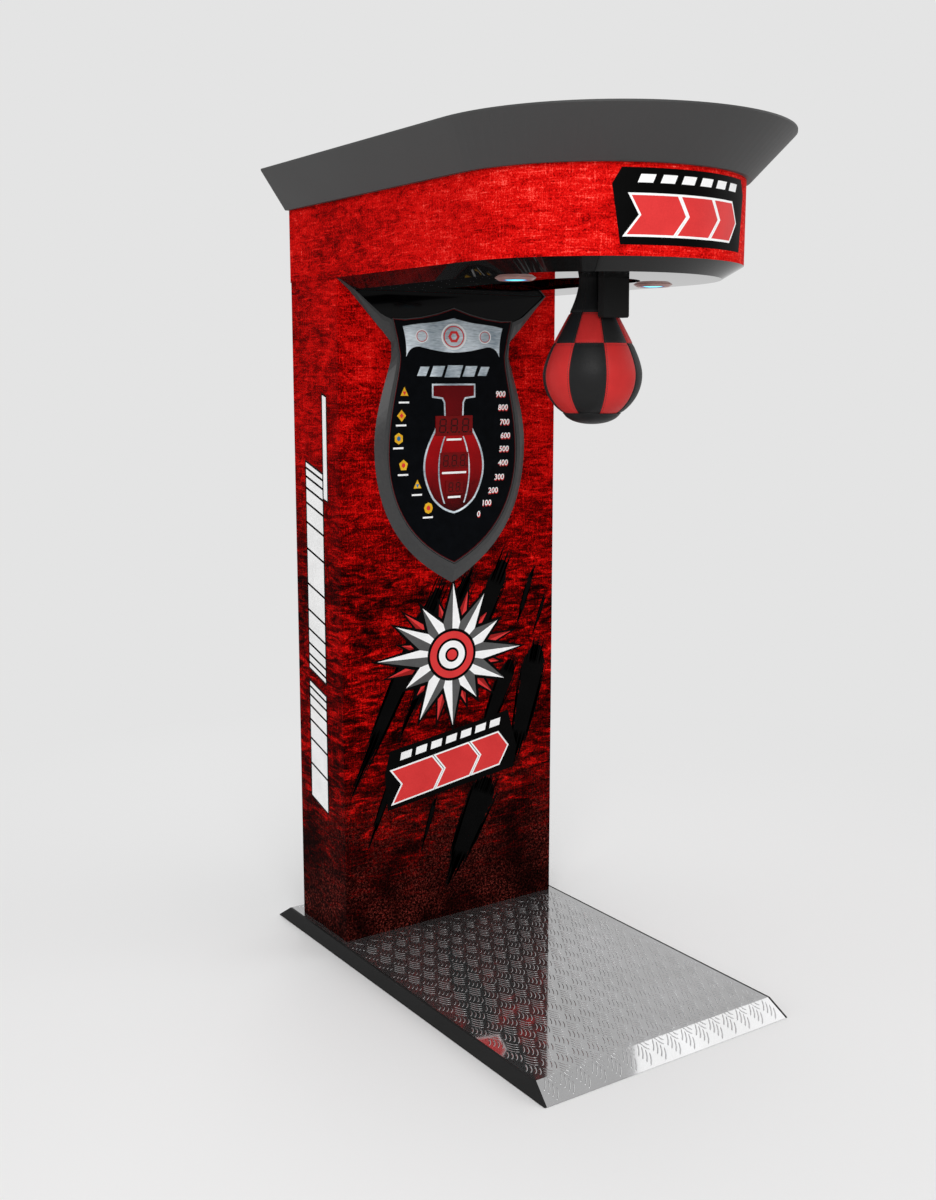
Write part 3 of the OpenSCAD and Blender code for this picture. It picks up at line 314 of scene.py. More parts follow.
def lamp_lens(name):
    """Frosted polycarbonate over coloured lamps: a bright middle that falls to violet at the rim."""
    material, tree, shader, where = start(name, Roughness=0.35, Emission_Strength=1.6)
    # Both lights are measured as one, on the positive side of the frame's middle planes. The middle of a lens
    # lies 4 mm under the ceiling
    side = add(tree, "VectorMath", [where], operation="ABSOLUTE")
    middle = [abs(c) for c in at(LIGHT_X, LIGHT_Y, CEILING_Z - 4)]
    away = add(tree, "VectorMath", [side, middle], operation="SUBTRACT")
    reach = add(tree, "VectorMath", [away], operation="LENGTH")
    ring = add(tree, "MapRange", [reach.outputs["Value"], 0.0, LENS_R / 1000])
    glow = colour("lamp")
    bright = tuple(min(1.0, c + 0.12) for c in glow[:3]) + (1.0,)
    ramp = add(tree, "ValToRGB", [ring], [(0.0, bright), (1.0, linear("#7a3fff")), (0.76, glow),
                                          (0.93, linear("#2f7bff"))])
    feed(tree, shader, {"Emission Color": ramp, "Base Color": ramp})
    return material


FINISHES = {
    # Printed vinyl film on the boards: a worn, cloth-like red print
    "Printed vinyl wrap": printed_wrap,
    # Thermoformed ABS, fine-textured: even charcoal, no mirror image, a soft highlight
    "Textured charcoal ABS": lambda name: coated(
        name, colour("crown", 0.93), colour("crown"), 240, 2.4, (0.44, 0.54), 0.12, Specular_IOR_Level=0.2),
    # Gloss-lacquered near-black board: mirrors the red column at its rear end and the pale room at its nose
    "Gloss lacquered trim": plain("#0e0e0e", "#141414", 260, 60, (0.02, 0.05), 0.002,
                                  Specular_IOR_Level=0.15),
    # High-gloss laminate on the ceiling plate: black that mirrors the column and the room at low angles
    "High-gloss laminate": plain("#050506", "#09090a", 300, 60, (0.01, 0.025), 0.001),
    # Powder-coated steel tube: low-sheen grey with orange peel
    "Powder-coated steel": plain("#2e3033", "#383a3e", 90, 3, (0.42, 0.55), 0.12),
    # Rolled aluminium tread plate, bright: mirrors what stands on it, slightly hazed by fine rolling lines
    "Rolled aluminium tread plate": plain("#b2b2b2", "#bdbdbe", 160, 2.5, (0.03, 0.07), 0.003, metallic=0.93,
                                          stretch=(1, 30, 1)),
    # Extruded PVC skirt: matt black, slightly chalky
    "Matt black PVC": plain("#1b1b1b", "#232323", 150, 3, (0.55, 0.66), 0.08, Specular_IOR_Level=0.12),
    # Moulded nitrile rubber: dull black with a dusty bloom
    "Moulded rubber": plain("#121212", "#191919", 40, 2, (0.65, 0.8), 0.12, Specular_IOR_Level=0.14),
    # Zinc-plated steel: cool silver with a faint spangle, half a mirror
    "Zinc-plated steel": plain("#a9adb0", "#c6c9cc", 9, 2, (0.24, 0.38), 0.03, metallic=1.0),
    # Black-stained board of the rear, lacquered: closed, matt and nearly even
    "Matt lacquered board": plain("#202022", "#2b2b2d", 120, 2.2, (0.5, 0.62), 0.1),
    # Turned brass cam: warm yellow metal with fine turning marks
    "Turned brass": plain("#b08a3e", "#cfa856", 12, 0.8, (0.22, 0.34), 0.02, metallic=1.0),
    # Pressed steel in black powder coat: low sheen with soft orange peel
    "Black powder coat": plain("#151515", "#1e1e1e", 60, 2, (0.4, 0.52), 0.1),
    # Moulded ABS with a spark-eroded texture: dull black with soft, broken highlights
    "Moulded black ABS": plain("#1a1a1b", "#242425", 50, 1.6, (0.38, 0.5), 0.08),
    "Green circuit board": circuit_board,
    # Brushed stainless sheet: vertical hairlines that draw out its highlights
    "Brushed stainless": plain("#8f9194", "#c2c4c6", 70, 0.9, (0.22, 0.36), 0.02, metallic=1.0,
                               stretch=(1, 1, 60)),
    # Moulded polycarbonate of buttons and rockers: clean red under a clear, wet-looking skin
    "Moulded red polycarbonate": plain("#a81410", "#c81e18", 30, 3, (0.18, 0.26), 0.02, Coat_Weight=0.3,
                                       Coat_Roughness=0.1),
    # Bronze-anodised ring round the lights: satin, reddish grey
    "Anodised light ring": plain("#a07872", "#b8928c", 30, 1.2, (0.3, 0.42), 0.02, metallic=0.2),
    "Frosted lamp lens": lamp_lens,
    # Dyed cowhide panels of the ball: matt and pebbled, red and near black
    "Red leather": lambda name: leather(name, colour("ball"), colour("ball", 0.86)),
    "Black leather": lambda name: leather(name, linear("#1f1f1f"), linear("#181819")),
    # Waxed nylon thread: charcoal with a faint shine along each stitch
    "Waxed thread": plain("#101010", "#1c1c1c", 6, 0.8, (0.4, 0.5), 0.05),
    # Polyester tape over the coil's copper winding: warm yellow, half glossy
    "Yellow coil tape": plain("#b98a18", "#d8a828", 18, 1.5, (0.3, 0.42), 0.04),
    # Satin enamel of the shield's border: even grey with long, soft highlights
    "Satin grey enamel": plain("#3b3b3c", "#424242", 130, 9, (0.18, 0.26), 0.01, Specular_IOR_Level=0.18),
    # Cast gloss acrylic: deep black with clear reflections
    "Gloss black acrylic": plain("#030304", "#060607", 150, 60, (0.04, 0.08), 0.002, Specular_IOR_Level=0.09),
    # Reverse-printed polycarbonate of the display: near black, slightly blue, with dim reflections
    "Printed polycarbonate": plain("#020305", "#07090d", 26, 4, (0.12, 0.2), 0.003, Specular_IOR_Level=0.03),
    # Tinted acrylic window in front of the digits: a dark red with a faint painted glow, as if lit from
    # behind
    "Red display window": plain("#4a0406", "#620709", 24, 5, (0.12, 0.18), 0.004, Specular_IOR_Level=0.08,
                                Emission_Color=linear("#7a0808"), Emission_Strength=0.25),
    # Unlit digit segments behind the tint: a shade darker than their window
    "Unlit digit segment": plain("#220203", "#2e0304", 8, 2, (0.25, 0.3), 0.004, Specular_IOR_Level=0.1),
    # Silver ink over a brushed base, as on printed panels: pale metal with level hairlines
    "Brushed silver print": plain("#5e7280", "#f0f9ff", 90, 2.4, (0.3, 0.4), 0.004, stretch=(8, 1, 0.6),
                                  Specular_IOR_Level=0.2),
    # Screen-printed inks of the films and the display: flat, opaque colour with little sheen
    "White ink": screen_ink("#efefef", "#ffffff"),
    "Grey ink": screen_ink("#4c4c4c", "#5c5c5c"),
    "Black ink": screen_ink("#040404", "#080808", gloss=0.02),
    "Signal red ink": screen_ink("#d23232", "#e03a3a"),
    "Dark red ink": screen_ink("#8c1210", "#9c1614"),
    "Maroon ink": screen_ink("#56060a", "#6a080d", gloss=0.05),
    # Screen print that runs from near black below to crimson above
    "Crimson ink": plain("#240204", "#a80a10", 60, 4, (0.25, 0.35), 0.004, graded=(1290, 1520),
                         Specular_IOR_Level=0.06),
    "Amber ink": screen_ink("#d89a14", "#f0c030", 16),
    "Blue ink": screen_ink("#1c5a8c", "#3a86b8", 16),
}
BLACK, WHITE, GREY, RED, DARK_RED = "Black ink", "White ink", "Grey ink", "Signal red ink", "Dark red ink"
SILVER = "Brushed silver print"


def finish(name):
    """The material of that name, made once."""
    if name not in MADE:
        MADE[name] = FINISHES[name](name)
    return MADE[name]


def dress(finishes):
    """Gives CAD nodes their finish: the nodes' names, with spaces between, listed by finish."""
    for label, names in finishes.items():
        for name in names.split():
            mesh = NODES[name].data
            mesh.materials.clear()
            mesh.materials.append(finish(label))


def soften(name):
    """Rounds the edges of a plain CAD node a little, so that they catch the light."""
    weld = NODES[name].modifiers.new("Weld", "WELD")
    weld.merge_threshold = 0.00002
    bevel = NODES[name].modifiers.new("Bevel", "BEVEL")
    bevel.width = sizes().edge
    bevel.segments = 2
    bevel.limit_method = "ANGLE"
    bevel.angle_limit = math.radians(50)
    bevel.harden_normals = True


# Meshes

def build(name, parts, body, smooth=False):
    """One object that rides a body, from parts: points, faces, and one finish or one for each face."""
    points, faces, marks = [], [], []
    for part_points, part_faces, mark in parts:
        base = len(points)
        points += [tuple(p) for p in part_points]
        faces += [tuple(base + i for i in face) for face in part_faces]
        marks += mark if isinstance(mark, list) else [mark] * len(part_faces)
    labels = list(dict.fromkeys(marks))
    mesh = bpy.data.meshes.new(name)
    mesh.from_pydata(points, [], faces)
    mesh.polygons.foreach_set("material_index", [labels.index(mark) for mark in marks])
    mesh.polygons.foreach_set("use_smooth", [smooth] * len(faces))
    work = bmesh.new()
    work.from_mesh(mesh)
    bmesh.ops.recalc_face_normals(work, faces=work.faces)
    work.to_mesh(mesh)
    work.free()
    for label in labels:
        mesh.materials.append(finish(label))
    obj = bpy.data.objects.new(name, mesh)
    bpy.context.scene.collection.objects.link(obj)
    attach(obj, body)
    return obj


def plate(loops, low, high, place, step=0.0):
    """A closed thin plate from an outline and its holes, laid on a surface by place(u, v, lift).
    With step, it is divided across u, so that it can follow a round surface."""
    work = bmesh.new()
    corners = [p for loop in loops for p in loop]
    top = [work.verts.new((u, v, high)) for u, v in corners]
    bottom = [work.verts.new((u, v, low)) for u, v in corners]
    for a, b, c in tessellate_polygon([[Vector((u, v, 0)) for u, v in loop] for loop in loops]):
        work.faces.new((top[a], top[b], top[c]))
        work.faces.new((bottom[c], bottom[b], bottom[a]))
    first = 0
    for loop in loops:
        for i in range(first, first + len(loop)):
            j = first + (i + 1 - first) % len(loop)
            work.faces.new((top[i], top[j], bottom[j], bottom[i]))
        first += len(loop)
    if step:
        cut = math.floor(min(p[0] for p in corners) / step) + 1
        while cut * step < max(p[0] for p in corners):
            everything = list(work.verts) + list(work.edges) + list(work.faces)
            bmesh.ops.bisect_plane(work, geom=everything, plane_co=(cut * step, 0, 0), plane_no=(1, 0, 0))
            cut += 1
    bmesh.ops.recalc_face_normals(work, faces=work.faces)
    work.verts.index_update()
    points = [place(*v.co) for v in work.verts]
    faces = [[v.index for v in f.verts] for f in work.faces]
    work.free()
    return points, faces


def on_front(y):
    """Lays u across and v up on an upright face that looks forward at y."""
    return lambda u, v, lift: at(u, y - lift, v)


def on_side(side, proud=0.0):
    """Lays u along and v up on the column's left (-1) or right (1) side, or on a plate that stands proud."""
    return lambda u, v, lift: at(side * (COLUMN_HALF + (lift + proud)), u, v)


def on_nose(u, v, lift):
    """Lays u round the head's round nose, from its middle to the right."""
    angle = u / BAND_HALF
    reach = BAND_HALF + lift
    return at(reach * math.sin(angle), -BAND_RUN - reach * math.cos(angle), v)


def circle(u, v, r, count=32, squash=1.0, turn=0.0):
    places = [turn + 2 * math.pi * i / count for i in range(count)]
    return [(u + r * math.cos(a), v + squash * r * math.sin(a)) for a in places]


def bezier(p, q, r, s, count):
    """Points on a cubic curve, without its last one."""
    found = []
    for i in range(count):
        t = i / count
        w = 1 - t
        found.append(tuple(w ** 3 * a + 3 * w * w * t * b + 3 * w * t * t * c + t ** 3 * d
                           for a, b, c, d in zip(p, q, r, s)))
    return found


def mirrored(half):
    """A closed outline from its right half, listed from the middle's top to the middle's bottom."""
    return half + [(-u, v) for u, v in reversed(half) if u > 0.001]


def grown(loop, by):
    """The outline moved outwards by a distance. At sharp corners it moves at most 2.2 times as far."""
    ahead = loop[1:] + loop[:1]
    sign = 1 if sum(a[0] * b[1] - b[0] * a[1] for a, b in zip(loop, ahead)) > 0 else -1
    result = []
    for i, (corner, after) in enumerate(zip(loop, ahead)):
        before = Vector(corner) - Vector(loop[i - 1])
        after = Vector(after) - Vector(corner)
        n1 = Vector((before.y, -before.x)).normalized() * sign
        n2 = Vector((after.y, -after.x)).normalized() * sign
        middle = n1 + n2
        if middle.length < 0.001:
            middle = n1
        middle.normalize()
        scale = min(2.2, 1 / max(0.2, middle.dot(n1)))
        result.append(tuple(Vector(corner) + middle * by * scale))
    return result


# Tread plate

# The bent plate is measured along s, from its front floor edge over ramp, deck and rear ramp
RAMP_LONG = math.hypot(RAMP_RUN, RAMP_RISE)
DECK_LONG = DECK_FRONT + DECK_REAR
PLATE_LONG = 2 * RAMP_LONG + DECK_LONG
# Bars stand side by side in fours that lean left and right in turn, in a staggered grid
GRID_X, GRID_S = 48.4, 77.0
NEXT_X, NEXT_S = 6.1, 10.3
BAR_X, BAR_S = 18.3, 30.4
BAR_BOW = 4.0
BAR_HALF = 2.0
# A bar's foot lies this deep in the plate; its crest takes up this share of its width; its ends are this low
BAR_SINK = 0.08
BAR_CREST = 0.35
BAR_END = 0.15
# Places along a bar, with its share of the full width there
BAR_SHAPE = ((0.0, 0.55), (0.18, 1.0), (0.5, 1.0), (0.82, 1.0), (1.0, 0.55))
# What the bars reach to across, and how far they keep off edges and the column
BARS_HALF = 383
BARS_OFF = 4


def along_plate(s):
    """Place along Y, height and upward direction (its Y and Z) on the bent plate at s."""
    if s < RAMP_LONG:
        t = s / RAMP_LONG
        return (-DECK_FRONT - RAMP_RUN + RAMP_RUN * t, DECK_Z - RAMP_RISE + RAMP_RISE * t,
                (-RAMP_RISE / RAMP_LONG, RAMP_RUN / RAMP_LONG))
    if s < RAMP_LONG + DECK_LONG:
        return -DECK_FRONT + (s - RAMP_LONG), DECK_Z, (0.0, 1.0)
    t = (s - RAMP_LONG - DECK_LONG) / RAMP_LONG
    return DECK_REAR + RAMP_RUN * t, DECK_Z - RAMP_RISE * t, (RAMP_RISE / RAMP_LONG, RAMP_RUN / RAMP_LONG)


def bar_path(i, j, k):
    """The middle line, across and along the plate, of bar k in the group at i, j of the grid."""
    lean = 1 if j % 2 else -1
    middle_x = i * 0.5 * GRID_X + lean * (k - 1.5) * NEXT_X
    middle_s = j * 0.5 * GRID_S - (k - 1.5) * NEXT_S
    path = []
    for t, share in BAR_SHAPE:
        bow = BAR_BOW * (1 - (2 * t - 1) ** 2)
        path.append((middle_x + lean * ((t - 0.5) * BAR_X + bow * 0.5),
                     middle_s + (t - 0.5) * BAR_S - bow * 0.86))
    return path


def tread_bars(height):
    """Raised bars over the deck and both ramps."""
    columns = int(BARS_HALF / GRID_X) + 2
    rows = int(PLATE_LONG / GRID_S) + 2
    paths = [bar_path(i, j, k) for i in range(-2 * columns, 2 * columns + 1) for j in range(-1, 2 * rows)
             if (i + j) % 2 == 0 for k in range(4)]
    points, faces = [], []
    for path in paths:
        if any(abs(x) > BARS_HALF or s < BARS_OFF or s > PLATE_LONG - BARS_OFF for x, s in path):
            continue
        if any(-BARS_OFF < along_plate(s)[0] < REAR_Y + BARS_OFF and abs(x) < COLUMN_HALF + BARS_OFF
               for x, s in path):
            continue
        base = len(points)
        last = len(path) - 1
        for n, (x, s) in enumerate(path):
            a = path[max(0, n - 1)]
            b = path[min(last, n + 1)]
            run = Vector((b[0] - a[0], b[1] - a[1])).normalized()
            half = BAR_HALF * BAR_SHAPE[n][1]
            crest = height * (1.0 if 0 < n < last else BAR_END)
            for side, lift in ((-1, -BAR_SINK), (-BAR_CREST, crest), (BAR_CREST, crest), (1, -BAR_SINK)):
                y, z, (ny, nz) = along_plate(s + run.x * half * side)
                points.append(at(x - run.y * half * side, y + ny * lift, z + nz * lift))
        for a in range(base, base + 4 * last, 4):
            b = a + 4
            faces += [(a + m, a + m + 1, b + m + 1, b + m) for m in range(3)]
            faces.append((a + 3, a, b, b + 3))
        end = base + 4 * last
        faces.append((base, base + 1, base + 2, base + 3))
        faces.append((end + 3, end + 2, end + 1, end))
    return points, faces


# Ball

GORES = 8
GORE = 360 / GORES
# Heights above the ball's lowest point: its two level seams, and where the neck's pleats begin
SEAM_LEVELS = (197, 273)
PLEATS_FROM = 300
# Where the panels meet the sewn cap
CAP_RIM = (72, 28.5)
# How far a seam's own furrow and the crowning of the panels reach from it
SEAM_HALF = 2.4
LEVEL_HALF = 2.2
CROWNING = 16


def on_ball(angle, r, h):
    """A point at an angle in degrees round the ball's axis, a radius and a height above its lowest point."""
    a = math.radians(angle)
    return at(r * math.sin(a), BALL_Y - r * math.cos(a), BALL_Z + h)


def ball_profile():
    """Radius and height above the ball's lowest point, from the sewn cap's rim up to the neck's top."""
    widest = (124, 121)
    root = (60, SEAM_LEVELS[1])
    neck = 37
    curve = bezier(CAP_RIM, (84, 34), (widest[0], widest[1] * 0.55), widest, 26)
    curve += bezier(widest, (widest[0], widest[1] + 41), (widest[0] - 40, widest[1] + 104), root, 36)
    curve += bezier(root, (root[0] - 12, root[1] + 27), (neck, NECK_TOP - 58), (neck, NECK_TOP - 34), 20)
    return curve + [(neck, NECK_TOP - down) for down in (34, 22, 8, 0)]


def angles():
    """Places round the ball in degrees, closer together at the seams, each with its distance from a seam."""
    steps = [0, 0.7, 1.5, 2.6, 4.5, 8, 13, 18, GORE / 2]
    found = []
    for gore in range(GORES):
        seam = GORE / 2 + GORE * gore
        found += [(seam + a, a) for a in steps[:-1]]
        found += [(seam + GORE - a, a) for a in reversed(steps[1:])]
    return found


def ball_mesh(depth):
    """The ball's cover: crowned panels, seams pulled in, a pleated neck, and a sewn cap below."""
    around = angles()
    count = len(around)
    points, faces, marks, rows = [], [], [], []
    for r, h in ball_profile():
        rows.append((len(points), h))
        off_level = min(abs(h - level) for level in SEAM_LEVELS)
        pull_level = depth * 0.9 * math.exp(-(off_level / LEVEL_HALF) ** 2)
        fade = 1.0 if h < PLEATS_FROM else max(0.35, 1 - (h - PLEATS_FROM) / 60)
        pleating = 0.9 * min(1, max(0, h - PLEATS_FROM) / 40)
        for angle, off in around:
            reach = math.radians(off) * r
            furrow = math.exp(-(reach / SEAM_HALF) ** 2)
            pull = depth * furrow + depth * 0.8 * math.exp(-(reach / CROWNING) ** 2)
            pleat = pleating * (0.5 - 0.5 * math.cos(math.radians(angle * 24)))
            points.append(on_ball(angle, r - pull * fade - pull_level - pleat, h))

    def skin(lower, upper):
        for i in range(count):
            j = (i + 1) % count
            faces.append((lower + i, lower + j, upper + j, upper + i))

    # Panels change colour from gore to gore and at the lower level seam; the neck is black
    for (low, h0), (high, h1) in zip(rows, rows[1:]):
        skin(low, high)
        level = sum((h0 + h1) / 2 > seam for seam in SEAM_LEVELS)
        marks += ["Black leather" if level == 2 or (i * GORES // count + level) % 2 == 0 else "Red leather"
                  for i in range(count)]
    # Sewn cap with its rolled rim
    previous = rows[0][0]
    cap = [(72.6, 27.4), (72.4, 26.2), (70.6, 25.6)]
    for r, h in cap + bezier((0, 0), (32, 0), (60, 9), (70.4, 25), 14)[:0:-1]:
        row = len(points)
        points += [on_ball(angle, r, max(0.0, h)) for angle, off in around]
        skin(row, previous)
        previous = row
    # Lowest point of the cap, and the flat top of the neck
    tip = len(points)
    points += [at(0, BALL_Y, BALL_Z), at(0, BALL_Y, BALL_Z + NECK_TOP)]
    last = rows[-1][0]
    faces += [(previous + (i + 1) % count, previous + i, tip) for i in range(count)]
    faces += [(last + i, last + (i + 1) % count, tip + 1) for i in range(count)]
    marks += ["Black leather"] * (len(faces) - len(marks))
    return points, faces, marks


def stitches(length, depth):
    """Thread stitches on both sides of the ball's seams."""
    table = sorted(ball_profile(), key=lambda p: p[1])
    points, faces = [], []

    def radius(h):
        for (r0, h0), (r1, h1) in zip(table, table[1:]):
            if h0 <= h <= h1:
                return r0 + (r1 - r0) * (h - h0) / max(0.001, h1 - h0)
        return table[-1][0]

    def stitch(angle0, h0, angle1, h1, sink):
        a = on_ball(angle0, radius(h0) - sink, h0)
        b = on_ball(angle1, radius(h1) - sink, h1)
        out = (a - at(0, BALL_Y, BALL_Z + h0)).normalized()
        side = (b - a).normalized().cross(out).normalized()
        base = len(points)
        half, tall = 0.00055, 0.0006
        for t, w in ((0.0, 0.4), (0.25, 1.0), (0.75, 1.0), (1.0, 0.4)):
            middle = a.lerp(b, t)
            for k in range(6):
                turn = 2 * math.pi * k / 6
                points.append(middle + side * half * w * math.cos(turn) + out * tall * w * math.sin(turn))
        for i in range(base, base + 18, 6):
            for k in range(6):
                j = (k + 1) % 6
                faces.append((i + k, i + j, i + 6 + j, i + 6 + k))
        faces.append(tuple(base + k for k in reversed(range(6))))
        faces.append(tuple(base + 18 + k for k in range(6)))

    # A stitch covers this share of its step, and lies this far beside an upright or a level seam
    gap = length * 1.35
    cover = 0.74
    beside, beside_level = 3.4, 3.2
    for gore in range(GORES):
        seam = GORE / 2 + GORE * gore
        for side in (-1, 1):
            h = 34.0
            while h < PLEATS_FROM:
                slope = (radius(h + 1) - radius(h - 1)) / 2
                step = gap / math.hypot(1, slope)
                end = h + step * cover
                stitch(seam + math.degrees(beside / radius(h)) * side, h,
                       seam + math.degrees(beside / radius(end)) * side, end, depth * 0.95)
                h += step
    for level in SEAM_LEVELS:
        for h in (level - beside_level, level + beside_level):
            r = radius(h)
            number = int(2 * math.pi * r / gap)
            for i in range(number):
                a0 = 360 * i / number
                a1 = a0 + 360 / number * cover
                # No stitch lies across an upright seam
                off = abs((a0 + a1) / 2 % GORE - GORE / 2)
                if off < 2.2:
                    continue
                reach = math.radians(off) * r
                stitch(a0, h, a1, h, depth * 0.8 * math.exp(-(reach / CROWNING) ** 2) + depth * 0.25)
    return points, faces


# Printed and cut films

def film():
    return sizes().film * 1000


def films(place, low=-0.3, step=0.0):
    """A list of parts, and what cuts a film into it: outline and holes, top in film thicknesses, and ink.
    Films start at low, just under the surface."""
    parts = []

    def cut(loops, level, ink):
        parts.append(plate(loops, low, film() * level, place, step) + (ink,))

    return parts, cut


def slanted(u, v, w, h, lean):
    """A bar of width w and height h whose top leans by lean."""
    return [(u - w / 2 - lean / 2, v - h / 2), (u + w / 2 - lean / 2, v - h / 2),
            (u + w / 2 + lean / 2, v + h / 2), (u - w / 2 + lean / 2, v + h / 2)]


def chevron(u, v, w, h, tip, lean):
    """A chevron that points to the right; u is its left end."""
    low, high, half = v - h / 2, v + h / 2, lean / 2
    return [(u - half, low), (u + w - half, low), (u + w + tip, v), (u + w + half, high), (u + half, high),
            (u + tip, v)]


def stacked(low, heights, gap=7):
    """Lower and upper edges of bars stacked from low upwards."""
    spans = []
    for height in heights:
        spans.append((low, low + height))
        low += height + gap
    return spans


def side_stripes(place, spans):
    """White bars of changing height on a black outline, stacked up a side panel and falling towards the
    front. A thin bar rises from the top one."""
    parts, cut = films(place)
    front, rear = 102, 200
    drop = 0.31 * (rear - front) / 2
    for low, high in spans:
        shape = [(front, low - drop), (rear, low + drop), (rear, high + drop), (front, high - drop)]
        cut([grown(shape, 6)], 0.5, BLACK)
        cut([shape], 1, WHITE)
    top = spans[-1][1]
    bar = [(front - 28, top - 88), (front - 7, top - 82), (front - 7, top + 208), (front - 28, top + 202)]
    cut([grown(bar, 5)], 0.45, BLACK)
    cut([bar], 0.9, WHITE)
    return parts


def brush_strokes(spots, seed):
    """Black brush strokes on the front: a solid body with an uneven edge, and frayed hairs beside it and at
    its ends. Each spot gives a stroke's two ends and its width."""
    rng = random.Random(seed)
    parts, cut = films(on_front(0))
    for u0, v0, u1, v1, width in spots:
        begin = Vector((u0, v0))
        run = Vector((u1 - u0, v1 - v0))
        across = Vector((-run.y, run.x)).normalized()

        def spot(f, offset):
            return begin + run * f + across * offset

        def taper(f):
            return 1 - 0.72 * max(0.0, f) ** 2.4

        steps = max(8, int(run.length / 11))
        edges = []
        for side in (1, -1):
            edge = []
            for i in range(steps + 1):
                f = 0.05 + 0.87 * i / steps
                blunt = min(1.0, 0.35 + 6 * (f - 0.05), 0.25 + 5 * (0.92 - f))
                edge.append(spot(f, side * width / 2 * taper(f) * blunt * (0.88 + 0.2 * rng.random())))
            edges.append(edge)
        loops = [edges[0] + edges[1][::-1]]
        # Hairs in turn beside the body, out of its blunt start and out of its thin end
        for k in range(int(width * 0.9)):
            kind = k % 3
            share = rng.uniform(-0.42, 0.42) if kind else rng.choice((-1, 1)) * rng.uniform(0.46, 0.62)
            first, last = ((rng.uniform(0.0, 0.5), rng.uniform(0.6, 0.98)), (rng.uniform(-0.05, 0.03), 0.2),
                           (0.72, rng.uniform(0.92, 1.08)))[kind]
            half = across * rng.uniform(0.8, 1.9)
            inset = 0.2 * (last - first)
            a, b, c, d = [spot(f, share * width * taper(f))
                          for f in (first, first + inset, last - inset, last)]
            loops.append([a, b + half, c + half, d, c - half, b - half])
        for loop in loops:
            cut([[tuple(p) for p in loop]], 0.25, BLACK)
    return parts


def burst(u, v, outer, inner, count, tall, turn, seed):
    """Tips and notches of a starburst, flattened by tall."""
    rng = random.Random(seed)
    tips, notches = [], []
    for i in range(count):
        a = 2 * math.pi * (i + 0.14 * (rng.random() - 0.5)) / count + turn
        reach = outer[i % len(outer)] * (0.95 + 0.10 * rng.random())
        tips.append((u + reach * math.cos(a), v + reach * math.sin(a) * tall))
        b = 2 * math.pi * (i + 0.5) / count + turn
        notches.append((u + inner * math.cos(b), v + inner * math.sin(b) * tall))
    return tips, notches


def arrow_panel(cut, back, bars, arrows, levels, tipped=list):
    """A black panel with slanted white bars over red arrows that are edged in white."""
    cut([tipped(back)], levels[0], BLACK)
    for bar in bars:
        cut([tipped(slanted(*bar))], levels[1], WHITE)
    for arrow in arrows:
        shape = chevron(*arrow)
        cut([tipped(grown(shape, 5))], levels[1], WHITE)
        cut([tipped(shape)], levels[2], RED)


def front_graphic():
    """A faceted starburst with a ring, over a slanted arrow panel, all of plain shapes."""
    parts, cut = films(on_front(0))
    u, v, rays = -2, 858, 12
    # Red rays behind, white and grey facets in front, both on a black outline
    for outer, inner, turn, lift, light, shade in (((222, 186), 96, math.pi / rays, 0.0, RED, DARK_RED),
                                                   ((250, 196, 232), 116, 0.0, 0.8, WHITE, GREY)):
        tips, notches = burst(u, v, outer, inner, rays, 0.86, turn, 11)
        cut([grown([p for pair in zip(tips, notches) for p in pair], 10)], 0.5 + lift, BLACK)
        for i, tip in enumerate(tips):
            cut([[(u, v), notches[i - 1], tip]], 1 + lift, light)
            cut([[(u, v), tip, notches[i]]], 1 + lift, shade)
    for r, level, ink in ((86, 2.2, BLACK), (77, 2.6, RED), (54, 3.0, BLACK), (46, 3.4, WHITE),
                          (24, 3.8, BLACK), (17, 4.2, RED)):
        cut([circle(u, v, r, 56, 0.92)], level, ink)
    tilt = math.radians(9)

    def tipped(loop):
        return [(p * math.cos(tilt) - q * math.sin(tilt), 536 + p * math.sin(tilt) + q * math.cos(tilt))
                for p, q in loop]

    arrow_panel(cut, [(-246, -86), (214, -96), (236, -30), (222, 90), (-208, 90), (-236, 26)],
                [(-156 + k * 54, 64, 38, 22, 8) for k in range(7)],
                [(x, -20, w, 98, 34, 12) for x, w in ((-216, 140), (-62, 118), (70, 98))],
                (0.5, 1, 1.5), tipped)
    return parts


def head_badge():
    """An arrow panel like the front's, laid round the nose."""
    parts, cut = films(on_nose, -0.4, 12)
    arrow_panel(cut, [(-209, 2096), (-188, 2131), (192, 2131), (214, 2099), (190, 1966), (-189, 1966)],
                [(-130 + k * 54, 2108, 36, 18, 8) for k in range(6)],
                [(x, 2030, w, 84, 28, 10) for x, w in ((-170, 112), (-47, 92), (56, 74))], (1, 1.6, 2.2))
    return parts


# Display

def number_mesh(text, height, u, v, lift, place):
    """A plain number from the built-in typeface, as a thin plate on the display."""
    data = bpy.data.curves.new("Number", "FONT")
    data.body = text
    # The typeface's figures stand 0.72 of its size high
    data.size = height * 1.38
    data.align_x = "CENTER"
    data.shear = 0.12
    data.offset = height * 0.012
    data.extrude = 0.35
    data.resolution_u = 3
    holder = bpy.data.objects.new("Number", data)
    bpy.context.scene.collection.objects.link(holder)
    bpy.context.view_layer.update()
    mesh = bpy.data.meshes.new_from_object(holder.evaluated_get(bpy.context.evaluated_depsgraph_get()))
    work = bmesh.new()
    work.from_mesh(mesh)
    bmesh.ops.remove_doubles(work, verts=work.verts, dist=0.01)
    work.verts.index_update()
    points = [place(u + p.co.x, v + p.co.y - height / 2, lift + p.co.z) for p in work.verts]
    faces = [[q.index for q in f.verts] for f in work.faces]
    work.free()
    bpy.data.objects.remove(holder)
    bpy.data.curves.remove(data)
    bpy.data.meshes.remove(mesh)
    return points, faces


